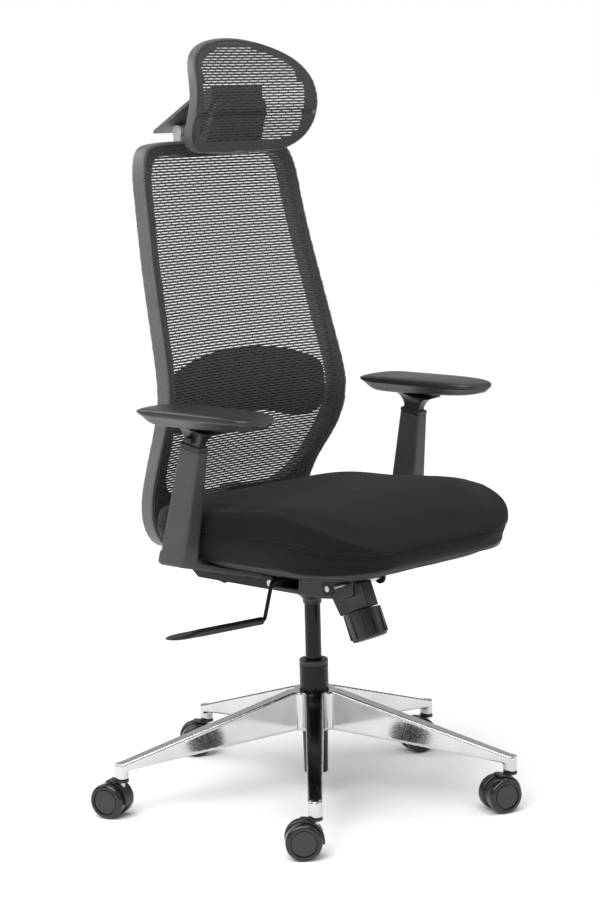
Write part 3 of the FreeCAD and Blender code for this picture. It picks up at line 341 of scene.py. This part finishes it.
def front_of(tree, x, z):
    """Depth of the first surface met from the front at this place, or None."""
    hit = tree.ray_cast(Vector((x, -1, z)), Vector((0, 1, 0)))
    return hit[0].y if hit[0] else None


def edge_along(tree, start, direction, reach):
    """How far from start the solids go, seen from the front."""
    near = 0.0
    far = reach
    for _ in range(20):
        middle = (near + far) / 2
        if front_of(tree, start[0] + middle * direction[0], start[1] + middle * direction[1]) is None:
            far = middle
        else:
            near = middle
    return near


def tube_ring(name, points, radius, material, sides=8):
    """A closed tube through the points."""
    verts = []
    faces = []
    count = len(points)
    for i, point in enumerate(points):
        along = (points[(i + 1) % count] - points[i - 1]).normalized()
        side = along.cross(Vector((0, 1, 0))).normalized()
        out = along.cross(side)
        for k in range(sides):
            turn = 2 * math.pi * k / sides
            verts.append(point + radius * (side * math.cos(turn) + out * math.sin(turn)))
    for i in range(count):
        for k in range(sides):
            here = i * sides
            there = (i + 1) % count * sides
            nxt = (k + 1) % sides
            faces.append((here + k, here + nxt, there + nxt, there + k))
    return new_object(name, verts, faces, material)


# ---------------------------------------------------------------- back and headrest


class Bowed:
    """The front surface of a frame that is bent about an upright axis."""

    def __init__(self, frame_node, net_node, axis_y):
        self.tree = tree_of(frame_node, net_node)
        rim = tree_of(frame_node)
        low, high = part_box(frame_node)
        self.axis_y = axis_y
        self.low = low.z
        self.high = high.z
        self.reach = high.x - low.x
        self.widths = self.measured_widths()
        count = 140
        margin = 4 * MM
        span = self.high - self.low - 2 * margin
        self.heights = [self.low + margin + span * i / count for i in range(count + 1)]
        radii = []
        for z in self.heights:
            x = max(self.half_width(z) - 9 * MM, 0)
            y = front_of(rim, x, z)
            radii.append(math.hypot(x, y - axis_y) if y is not None else radii[-1])
        for _ in range(3):
            radii = [
                (radii[max(i - 1, 0)] + radii[i] + radii[min(i + 1, count)]) / 3 for i in range(count + 1)
            ]
        self.radii = radii

    def measured_widths(self):
        """The half width at every millimetre of height, each the middle one of nine neighbours."""
        count = int((self.high - self.low) / MM)
        raw = []
        for i in range(count):
            raw.append(edge_along(self.tree, (0, self.low + (i + 0.5) * MM), (1, 0), self.reach))
        widths = []
        for i in range(count):
            near = sorted(raw[max(i - 4, 0):i + 5])
            widths.append(near[len(near) // 2])
        return widths

    def half_width(self, z):
        place = (z - self.low) / MM - 0.5
        if place < 0 or place > len(self.widths) - 1:
            return 0.0
        i = min(int(place), len(self.widths) - 2)
        return self.widths[i] + (self.widths[i + 1] - self.widths[i]) * (place - i)

    def clear_width(self, z, border):
        """The half width left at one height inside a border of even width."""
        steep = 0.8 * border
        return min(self.half_width(z) - border, self.half_width(z - steep), self.half_width(z + steep))

    def at(self, x, z, lift=0.0):
        """The point on the surface, raised towards the front by lift."""
        share = (z - self.heights[0]) / (self.heights[-1] - self.heights[0])
        place = min(max(share, 0), 1) * (len(self.heights) - 1)
        i = min(int(place), len(self.heights) - 2)
        radius = self.radii[i] + (self.radii[i + 1] - self.radii[i]) * (place - i) - lift
        return Vector((x, self.axis_y + math.sqrt(radius * radius - x * x), z))

    def outline(self, inset, count, lift):
        """Points round the frame's edge, an even distance inside it."""
        middle = (self.low + self.high) / 2
        flat = []
        for i in range(count):
            turn = 2 * math.pi * i / count
            way = (math.sin(turn), math.cos(turn))
            away = edge_along(self.tree, (0, middle), way, self.reach * 2)
            flat.append(Vector((away * way[0], middle + away * way[1])))
        moved = []
        for i, here in enumerate(flat):
            along = (flat[(i + 1) % count] - flat[i - 1]).normalized()
            inward = Vector((along.y, -along.x))
            moved.append(here + inward * inset)
        return [self.at(p.x, p.y, lift) for p in moved]


def net(name, bowed, edge, lift, thick, border):
    """A stretched net: level threads with staggered slits between them, and a closed border."""
    half_period = NET_PERIOD / 2
    columns = []
    steps = int(bowed.reach / 2 / half_period) + 2
    for j in range(-steps, steps + 1):
        columns += [j * half_period - NET_BRIDGE / 2, j * half_period + NET_BRIDGE / 2]
    rows = int((bowed.high - bowed.low - 2 * edge) / NET_PITCH)
    verts = []
    faces = []
    index = {}

    def vertex(i, top, k):
        """The k-th column's vertex on the lower or upper edge of thread i."""
        key = (i, top, k)
        if key in index:
            return index[key]
        middle = bowed.low + edge + (i + 0.5) * NET_PITCH
        joined = (k // 2 + i + (1 if top else 0)) % 2 == 0
        half = NET_THREAD / 2 + (0.2 * MM if joined else -0.15 * MM)
        z = middle + (half if top else -half)
        limit = bowed.half_width(z) - edge
        x = max(-limit, min(limit, columns[k]))
        index[key] = len(verts)
        verts.append(bowed.at(x, z, lift))
        return index[key]

    for i in range(rows):
        middle = bowed.low + edge + (i + 0.5) * NET_PITCH
        limit = bowed.half_width(middle) - edge
        clear = bowed.clear_width(middle, edge + border)
        for k in range(len(columns) - 1):
            if columns[k + 1] < -limit or columns[k] > limit:
                continue
            faces.append((
                vertex(i, False, k), vertex(i, False, k + 1), vertex(i, True, k + 1), vertex(i, True, k),
            ))
            if i + 1 == rows:
                continue
            is_bridge = k % 2 == 0 and (k // 2 + i + 1) % 2 == 0
            near_edge = abs(columns[k]) > clear or abs(columns[k + 1]) > clear
            if is_bridge or near_edge:
                faces.append((
                    vertex(i, True, k), vertex(i, True, k + 1),
                    vertex(i + 1, False, k + 1), vertex(i + 1, False, k),
                ))
    obj = new_object(name, verts, faces, NET_YARN)
    work = bmesh.new()
    work.from_mesh(obj.data)
    bmesh.ops.dissolve_degenerate(work, dist=0.02 * MM, edges=work.edges)
    bmesh.ops.remove_doubles(work, verts=work.verts, dist=0.01 * MM)
    work.to_mesh(obj.data)
    work.free()
    body = obj.modifiers.new("thick", "SOLIDIFY")
    body.thickness = thick
    body.offset = 0
    return obj


def back():
    bowed = Bowed("back_frame", "back_mesh", BACK_AXIS_Y)
    remeshed("back_frame", 2.2 * MM, 6, FRAME_PLASTIC, "back_rim")
    stand_in(net("back_net", bowed, 7 * MM, 1.2 * MM, 0.9 * MM, 5 * MM), "back_mesh")
    # A black tube along the frame's inside edge: painted shade that stands in for the dark groove where the net
    # meets the frame.
    groove = tube_ring("back_groove_shade", bowed.outline(6.5 * MM, 260, 0.4 * MM), 1.6 * MM, BLACK_PLASTIC)
    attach(groove, "back")
    remeshed("lumbar_pad", 2.5 * MM, 6, BLACK_PLASTIC, "lumbar_band")


def headrest():
    bowed = Bowed("headrest_frame", "headrest_mesh", HEAD_AXIS_Y)
    remeshed("headrest_frame", 1.6 * MM, 5, FRAME_PLASTIC, "head_rim")
    stand_in(net("head_net", bowed, 5 * MM, 1.0 * MM, 0.9 * MM, 17 * MM), "headrest_mesh")
    # A black tube along the frame's inside edge: painted shade that stands in for the dark groove where the net
    # meets the frame.
    groove = tube_ring("head_groove_shade", bowed.outline(4.6 * MM, 160, 0.3 * MM), 1.3 * MM, BLACK_PLASTIC)
    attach(groove, "head")
    bevelled("headrest_arm", 1.6 * MM, FRAME_PLASTIC)
    bevelled("headrest_post", 0.8 * MM, LIGHT_PLASTIC)
    bevelled("headrest_socket", 1.5 * MM, BLACK_PLASTIC)


# ---------------------------------------------------------------- seat


def inflate(obj, cap):
    """The cover swollen outwards by its filling, no point moving further than cap."""
    rest = [v.co.copy() for v in obj.data.vertices]
    outward = [v.normal.copy() for v in obj.data.vertices]
    steps = 20
    cloth = obj.modifiers.new("cloth", "CLOTH")
    cloth.settings.quality = 5
    cloth.settings.use_pressure = True
    cloth.settings.uniform_pressure_force = 4
    cloth.settings.effector_weights.gravity = 0
    cloth.settings.tension_stiffness = 20
    cloth.settings.compression_stiffness = 20
    cloth.settings.bending_stiffness = 2
    cloth.point_cache.frame_start = 1
    cloth.point_cache.frame_end = steps
    for step in range(1, steps + 1):
        bpy.context.scene.frame_set(step)
    freeze(obj)
    bpy.context.scene.frame_set(1)
    around = [[] for _ in rest]
    for edge in obj.data.edges:
        first, second = edge.vertices
        around[first].append(second)
        around[second].append(first)
    swell = [min(max((v.co - start).dot(v.normal), 0), cap) for v, start in zip(obj.data.vertices, rest)]
    for _ in range(12):
        swell = [
            (here + sum(swell[j] for j in near)) / (1 + len(near)) for here, near in zip(swell, around)
        ]
    for vertex, start, way, rise in zip(obj.data.vertices, rest, outward, swell):
        vertex.co = start + way * rise


def reshape(obj, rule):
    """Every point moved by one rule, from its place to its new place."""
    for vertex in obj.data.vertices:
        vertex.co = rule(vertex.co.copy())
    obj.data.update()


def eased(value, start, end):
    """0 before start, 1 after end, and a smooth rise between them."""
    share = min(max((value - start) / (end - start), 0), 1)
    return share * share * (3 - 2 * share)


def plump(obj, sewn):
    """The seat's plan with rounder corners; a sewn cover also draws in below its belt and towards its top."""
    low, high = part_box("seat_cushion")
    middle = (low.y + high.y) / 2
    half_x = (high.x - low.x) / 2
    half_y = (high.y - low.y) / 2
    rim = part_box("seat_shell")[1].z

    def rule(point):
        across = abs(point.x) / half_x
        along = abs(point.y - middle) / half_y
        power = 3.6 if point.y < middle else 6.0
        reach = (across ** power + along ** power) ** (1 / power)
        if reach > 1:
            point.x /= reach
            point.y = middle + (point.y - middle) / reach
        inset = 12 * MM
        if sewn:
            below = eased(SEAT_BELT - point.z, 0, SEAT_BELT - rim)
            above = max(point.z - SEAT_BELT, 0) / (high.z - SEAT_BELT)
            inset = 9 * MM * below + 17 * MM * above ** 2
        point.x *= 1 - inset / half_x
        point.y = middle + (point.y - middle) * (1 - inset / half_y)
        return point

    reshape(obj, rule)


def seam_height(y):
    """The seam runs level along the sides and dips across the front."""
    return 0.499 - 0.021 * eased(-y, 0.16, 0.29)


def sew(cover):
    """The seam pulled in all round the side, and a row of stitches on each side of it."""
    low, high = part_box("seat_cushion")
    middle = Vector((0, (low.y + high.y) / 2, 0))
    tree = BVHTree.FromPolygons(
        [v.co.copy() for v in cover.data.vertices], [list(f.vertices) for f in cover.data.polygons]
    )
    pull = 1.8 * MM
    spread = 3.2 * MM

    def rule(point):
        away = point.z - seam_height(point.y)
        outward = (point - middle) * Vector((1, 1, 0))
        if abs(away) < 4 * spread and outward.length > 0.16:
            point -= outward.normalized() * pull * math.exp(-(away / spread) ** 2)
        return point

    reshape(cover, rule)
    verts = []
    faces = []
    count = 440
    for offset in (-3.4 * MM, 3.4 * MM):
        ends = []
        for i in range(2 * count):
            turn = math.pi * i / count
            way = Vector((math.cos(turn), math.sin(turn), 0))
            z = seam_height(middle.y + way.y * 0.25) + offset
            start = Vector((0, middle.y, z)) + way * 0.5
            hit = tree.ray_cast(start, -way)
            ends.append((hit[0], hit[1]))
        for i in range(0, 2 * count, 2):
            (first, normal), (second, _other) = ends[i], ends[i + 1]
            if first is None or second is None:
                continue
            along = (second - first).normalized()
            lift = normal.normalized()
            side = along.cross(lift)
            base = len(verts)
            for place, size in ((first, 0.35), (first.lerp(second, 0.5), 0.6), (second, 0.35)):
                for k in range(6):
                    turn = math.pi * k / 3
                    verts.append(place + (side * math.cos(turn) + lift * math.sin(turn)) * size * MM)
            for ring in (base, base + 6):
                for k in range(6):
                    nxt = (k + 1) % 6
                    faces.append((ring + k, ring + nxt, ring + 6 + nxt, ring + 6 + k))
            faces.append(tuple(base + k for k in reversed(range(6))))
            faces.append(tuple(base + 12 + k for k in range(6)))
    stitches = new_object("seat_stitches", verts, faces, THREAD)
    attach(stitches, "seat")


def seat():
    cover = copy_of("seat_cushion", "seat_cover", 0)
    give(cover, SEAT_FABRIC)
    grid = cover.modifiers.new("grid", "REMESH")
    grid.mode = "VOXEL"
    grid.voxel_size = 6 * MM
    melt = cover.modifiers.new("melt", "SMOOTH")
    melt.factor = 0.5
    melt.iterations = 14
    freeze(cover)
    plump(cover, True)
    inflate(cover, 6 * MM)
    finer = cover.modifiers.new("finer", "SUBSURF")
    finer.levels = 1
    freeze(cover)
    sew(cover)
    cover.data.shade_smooth()
    stand_in(cover, "seat_cushion")
    shell = bevelled("seat_shell", 1.5 * MM, SHELL_PLASTIC)
    freeze(shell)
    plump(shell, False)


# ---------------------------------------------------------------- arms


def pad_skin(side):
    """A moulded pad: a crowned top, a crease round its side, and an underside that draws in."""
    low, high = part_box("arm_pad_" + side)
    middle = (low.x + high.x) / 2
    half = (high.x - low.x) / 2
    # Share of the length from the rear tip; width share; drops of top, crease and underside; its width share.
    stations = [
        (0.000, 0.60, 5.0, 6.5, 7.5, 0.60), (0.008, 0.84, 3.2, 7.5, 11.0, 0.70),
        (0.030, 0.95, 1.8, 9.5, 16.0, 0.72),
        (0.080, 1.00, 0.6, 11.5, 26.5, 0.70), (0.150, 1.00, 0.1, 12.5, 31.0, 0.64),
        (0.350, 1.00, 0.0, 13.0, 31.0, 0.60),
        (0.600, 1.00, 0.0, 13.0, 30.0, 0.60), (0.760, 0.98, 0.6, 13.0, 28.5, 0.60),
        (0.870, 0.91, 1.8, 13.2, 27.0, 0.58),
        (0.940, 0.77, 4.0, 13.6, 25.0, 0.52), (0.978, 0.58, 6.6, 14.0, 22.5, 0.42),
        (0.995, 0.34, 9.8, 14.3, 19.0, 0.24),
    ]
    verts = []
    faces = []
    for share, wide, top, crease, under, narrow in stations:
        y = high.y + (low.y - high.y) * share
        h = half * wide
        b = half * narrow * wide
        t = high.z - top * MM
        c = high.z - crease * MM
        u = high.z - under * MM
        right = [
            (0.35 * h, t - 0.2 * MM), (0.68 * h, t - 0.8 * MM), (0.88 * h, t - 1.9 * MM),
            (0.965 * h, t - 3.6 * MM * wide),
            (0.998 * h, (t + c) / 2), (h, c + 0.8 * MM), (0.992 * h, c - 0.5 * MM),
            (b + 0.45 * (h - b), (c + u) / 2),
            (b + 0.06 * (h - b), u + 1.0 * MM), (0.92 * b, u), (0.5 * b, u),
        ]
        ring = [(0, t)] + right + [(0, u)] + [(-x, z) for x, z in reversed(right)]
        verts += [(middle + x, y, z) for x, z in ring]
    size = len(ring)
    for i in range(len(stations) - 1):
        for k in range(size):
            nxt = (k + 1) % size
            faces.append((i * size + k, (i + 1) * size + k, (i + 1) * size + nxt, i * size + nxt))
    last = (len(stations) - 1) * size
    half_ring = size // 2
    for first, flip in ((0, False), (last, True)):
        for k in range(half_ring):
            quad = [first + k, first + k + 1, first + (size - k - 1) % size, first + (size - k) % size]
            quad = list(dict.fromkeys(quad))
            if len(quad) > 2:
                faces.append(tuple(quad[::-1] if flip else quad))
    pad = new_object("arm_pad_%s_skin" % side, verts, faces, PAD_SKIN)
    work = bmesh.new()
    work.from_mesh(pad.data)
    bmesh.ops.recalc_face_normals(work, faces=work.faces)
    work.to_mesh(pad.data)
    work.free()
    smooth = pad.modifiers.new("smooth", "SUBSURF")
    smooth.levels = 2
    smooth.render_levels = 2
    stand_in(pad, "arm_pad_" + side)


def bracket(side):
    """The upright of an arm, its foot on the lines of its leaning faces and its bore clear of the post."""
    obj = remeshed("arm_bracket_" + side, 1.8 * MM, 5, ARM_PLASTIC)
    freeze(obj)
    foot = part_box("arm_bracket_" + side)[0].z + 46.5 * MM

    def rule(point):
        rise = point.z - foot
        if abs(point.x) > 0.262 and rise < 25 * MM:
            reach = 0.2993 - 0.0897 * rise
            point.x = max(-reach, min(reach, point.x))
            point.y = min(point.y, 0.0618 - 0.214 * rise)
            point.y = max(point.y, 0.0045 - 0.148 * rise)
        return point

    reshape(obj, rule)
    post = tree_of("arm_post_" + side)
    gap = 0.8 * MM

    def clear(point):
        place, normal, _face, away = post.find_nearest(point)
        if away < 4 * MM and (point - place).dot(normal) < gap:
            return place + normal * gap
        return point

    reshape(obj, clear)
    obj.data.shade_smooth()


def arms():
    for side in ("left", "right"):
        bracket(side)
        bevelled("arm_post_" + side, 1.6 * MM, POST_PLASTIC)
        bevelled("arm_collar_" + side, 0.6 * MM, POST_PLASTIC)
        give(frame["nodes"]["arm_button_" + side], BLACK_PLASTIC)
        pad_skin(side)


# ---------------------------------------------------------------- base, column and mechanism


def base():
    remeshed("base_star", 1.8 * MM, 14, POLISHED, "star")
    give(frame["nodes"]["column_tube"], CYLINDER)
    bevelled("column_bush", 0.8 * MM, BLACK_PLASTIC)
    give(frame["nodes"]["thrust_bearing"], STEEL)
    give(frame["nodes"]["piston_rod"], STEEL)
    give(frame["nodes"]["rod_clip"], STEEL)
    give(frame["nodes"]["gas_cylinder"], CYLINDER)


def mechanism():
    housing = remeshed("tilt_housing", 1.8 * MM, 4, BLACK_PLASTIC)
    freeze(housing)
    housing.data.shade_smooth()

    def narrow(point):
        point.x *= 1 - 0.5 * eased(-point.y, 0.06, 0.095)
        return point

    reshape(housing, narrow)
    bevelled("back_bar", 2.0 * MM, DARK_STEEL)
    knob = bevelled("tension_knob", 0.5 * MM, BLACK_PLASTIC)
    freeze(knob)
    low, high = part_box("tension_knob")
    centre = (low + high) / 2

    def widen(point):
        reach = point - centre
        along = KNOB_AXIS * reach.dot(KNOB_AXIS)
        return centre + along + (reach - along) * KNOB_WIDENING

    reshape(knob, widen)
    bevelled("seat_plate", 0.8 * MM, DARK_STEEL)
    bevelled("lever_grip", 0.8 * MM, BLACK_PLASTIC)
    for node in (
        "tilt_axle", "seat_hinge_pin", "tension_spring", "tension_bolt", "headrest_pin", "seat_screws",
        "back_screws",
    ):
        give(frame["nodes"][node], STEEL)
    give(frame["nodes"]["height_lever"], DARK_STEEL)


def wheel(node, joint):
    """A caster wheel turned from its section: hub face, groove, bright rim line and tread."""
    centre = Vector(joint["pos_m"])
    axis = Vector(joint["axis"]).normalized()
    mesh = frame["nodes"][node].data
    reach = [(v.co - centre).dot(axis) for v in mesh.vertices]
    radius = max(((v.co - centre) - axis * (v.co - centre).dot(axis)).length for v in mesh.vertices)
    outward = 1 if max(reach) > -min(reach) else -1
    outer = max(outward * t for t in reach)
    inner = min(outward * t for t in reach)
    section = [
        (outer - 1.6 * MM, 0), (outer - 1.4 * MM, 0.2), (outer - 0.7 * MM, 0.42), (outer - 0.6 * MM, 0.64),
        (outer - 0.9 * MM, 0.665), (outer - 2.6 * MM, 0.68), (outer - 2.6 * MM, 0.71),
        (outer - 0.4 * MM, 0.73),
        (outer, 0.76), (outer, 0.84), (outer - 0.5 * MM, 0.9), (outer - 2.0 * MM, 0.96),
        (outer - 4.2 * MM, 0.993),
        (outer - 6.0 * MM, 1.0), (inner + 3.0 * MM, 1.0), (inner + 1.0 * MM, 0.975), (inner, 0.93),
        (inner, 0.3),
        (inner + 2 * MM, 0.27), (inner + 2 * MM, 0),
    ]
    side = axis.cross(Vector((0, 0, 1))).normalized()
    up = side.cross(axis)
    turns = 72
    verts = []
    faces = []
    for t, share in section:
        for k in range(turns):
            turn = 2 * math.pi * k / turns
            ring = side * math.cos(turn) + up * math.sin(turn)
            verts.append(centre + axis * (t * outward) + ring * (share * radius))
    for i in range(len(section) - 1):
        for k in range(turns):
            nxt = (k + 1) % turns
            quad = (i * turns + k, i * turns + nxt, (i + 1) * turns + nxt, (i + 1) * turns + k)
            faces.append(quad if outward > 0 else quad[::-1])
    obj = new_object(node + "_shape", verts, faces, TREAD)
    obj.data.materials.append(DISC)
    work = bmesh.new()
    work.from_mesh(obj.data)
    bmesh.ops.remove_doubles(work, verts=work.verts, dist=0.01 * MM)
    bmesh.ops.recalc_face_normals(work, faces=work.faces)
    for face in work.faces:
        middle = face.calc_center_median() - centre
        flat = (middle - axis * middle.dot(axis)).length
        if flat < 0.66 * radius and middle.dot(axis) * outward > inner + 4 * MM:
            face.material_index = 1
    work.to_mesh(obj.data)
    work.free()
    obj.data.set_sharp_from_angle(angle=math.radians(50))
    return stand_in(obj, node)


def casters():
    joints = {joint["name"]: joint for joint in frame["joints"]}
    for number in range(5):
        bevelled("caster_%d_housing" % number, 0.8 * MM, BLACK_PLASTIC)
        give(frame["nodes"]["caster_%d_pins" % number], STEEL)
        for side in ("left", "right"):
            wheel("caster_%d_wheel_%s" % (number, side), joints["caster_%d_roll_%s" % (number, side)])


# ---------------------------------------------------------------- studio


def card(name, middle, facing, width, height, material):
    """A flat card centred at one place, facing another."""
    towards = (Vector(facing) - Vector(middle)).normalized()
    side = towards.cross(Vector((0, 0, 1))).normalized()
    up = side.cross(towards)
    corners = [
        Vector(middle) + side * (i * width / 2) + up * (j * height / 2)
        for i, j in ((-1, -1), (1, -1), (1, 1), (-1, 1))
    ]
    obj = new_object(name, corners, [(0, 1, 2, 3)], material, smooth=False)
    return obj


def lamp(name, place, target, size, power):
    light = bpy.data.lights.new(name, "AREA")
    light.shape = "SQUARE"
    light.size = size
    light.energy = power
    obj = bpy.data.objects.new(name, light)
    obj.location = place
    obj.rotation_euler = (Vector(target) - Vector(place)).to_track_quat("-Z", "Y").to_euler()
    bpy.context.scene.collection.objects.link(obj)
    return obj


def studio():
    half = 30.0
    new_object(
        "floor", [(-half, -half, 0), (half, -half, 0), (half, half, 0),
        (-half, half, 0)], [(0, 1, 2, 3)], PAPER,
        smooth=False,
    )
    world = bpy.data.worlds.new("studio")
    world.use_nodes = True
    nodes = world.node_tree.nodes
    links = world.node_tree.links
    around = nodes["Background"]
    around.inputs["Color"].default_value = (1, 1, 1, 1)
    around.inputs["Strength"].default_value = 0.5
    backdrop = nodes.new("ShaderNodeBackground")
    backdrop.inputs["Color"].default_value = (1, 1, 1, 1)
    seen = nodes.new("ShaderNodeLightPath")
    mixed = nodes.new("ShaderNodeMixShader")
    links.new(seen.outputs["Is Camera Ray"], mixed.inputs["Fac"])
    links.new(around.outputs["Background"], mixed.inputs[1])
    links.new(backdrop.outputs["Background"], mixed.inputs[2])
    links.new(mixed.outputs["Shader"], nodes["World Output"].inputs["Surface"])
    bpy.context.scene.world = world
    middle = (0, 0, 0.6)
    lamp("key", (-2.6, -0.6, 2.6), middle, 2.0, 45)
    lamp("fill", (2.4, -2.4, 2.0), middle, 2.0, 18)
    lamp("rim", (-0.8, 2.6, 2.4), middle, 2.0, 35)
    overhead = bpy.data.lights.new("overhead", "SUN")
    overhead.energy = 2.2
    overhead.angle = math.radians(55)
    sun = bpy.data.objects.new("overhead", overhead)
    sun.rotation_euler = (Vector((0.35, 0.25, -1))).to_track_quat("-Z", "Y").to_euler()
    bpy.context.scene.collection.objects.link(sun)
    black = Shader("flag", Roughness=1.0, Specular_IOR_Level=0.0)
    black.tint(black.noise(4.0), grey(0.01), grey(0.012))
    for name, place, width, height in (
        ("flag_front", (-1.0, -3.4, 1.3), 2.2, 1.2), ("flag_right", (3.2, -0.6, 1.3), 1.6, 1.4),
        ("flag_rear", (0.4, 3.4, 1.3), 2.0, 1.2), ("flag_left", (-3.4, 0.8, 1.3), 1.6, 1.2),
    ):
        flag = card(name, place, (0, 0, place[2]), width, height, black.material)
        flag.visible_camera = False
        flag.visible_diffuse = False
        flag.visible_shadow = False


def camera():
    """The camera stands to the front left, a little above the seat, and looks slightly down."""
    place = Vector((-2.8931, -2.7897, 1.204))
    ahead = math.radians(-46.043)
    drop = math.radians(8.467)
    roll = math.radians(-1.41)
    swing = math.radians(0.209)
    level = Vector((-math.sin(ahead), math.cos(ahead), 0))
    level = Matrix.Rotation(swing, 3, "Z") @ level
    look = level * math.cos(drop) + Vector((0, 0, -math.sin(drop)))
    right = look.cross(Vector((0, 0, 1))).normalized()
    up = right.cross(look)
    tilted_right = right * math.cos(roll) + up * math.sin(roll)
    tilted_up = up * math.cos(roll) - right * math.sin(roll)
    lens = bpy.data.cameras.new("camera")
    lens.sensor_fit = "VERTICAL"
    lens.sensor_height = 36
    lens.lens = 95.55
    obj = bpy.data.objects.new("camera", lens)
    turn = Matrix((tilted_right, tilted_up, -look)).transposed()
    obj.matrix_world = Matrix.Translation(place) @ turn.to_4x4()
    bpy.context.scene.collection.objects.link(obj)
    bpy.context.scene.camera = obj


back()
headrest()
seat()
arms()
base()
mechanism()
casters()
studio()
camera()
bpy.context.scene.view_settings.view_transform = "Standard"
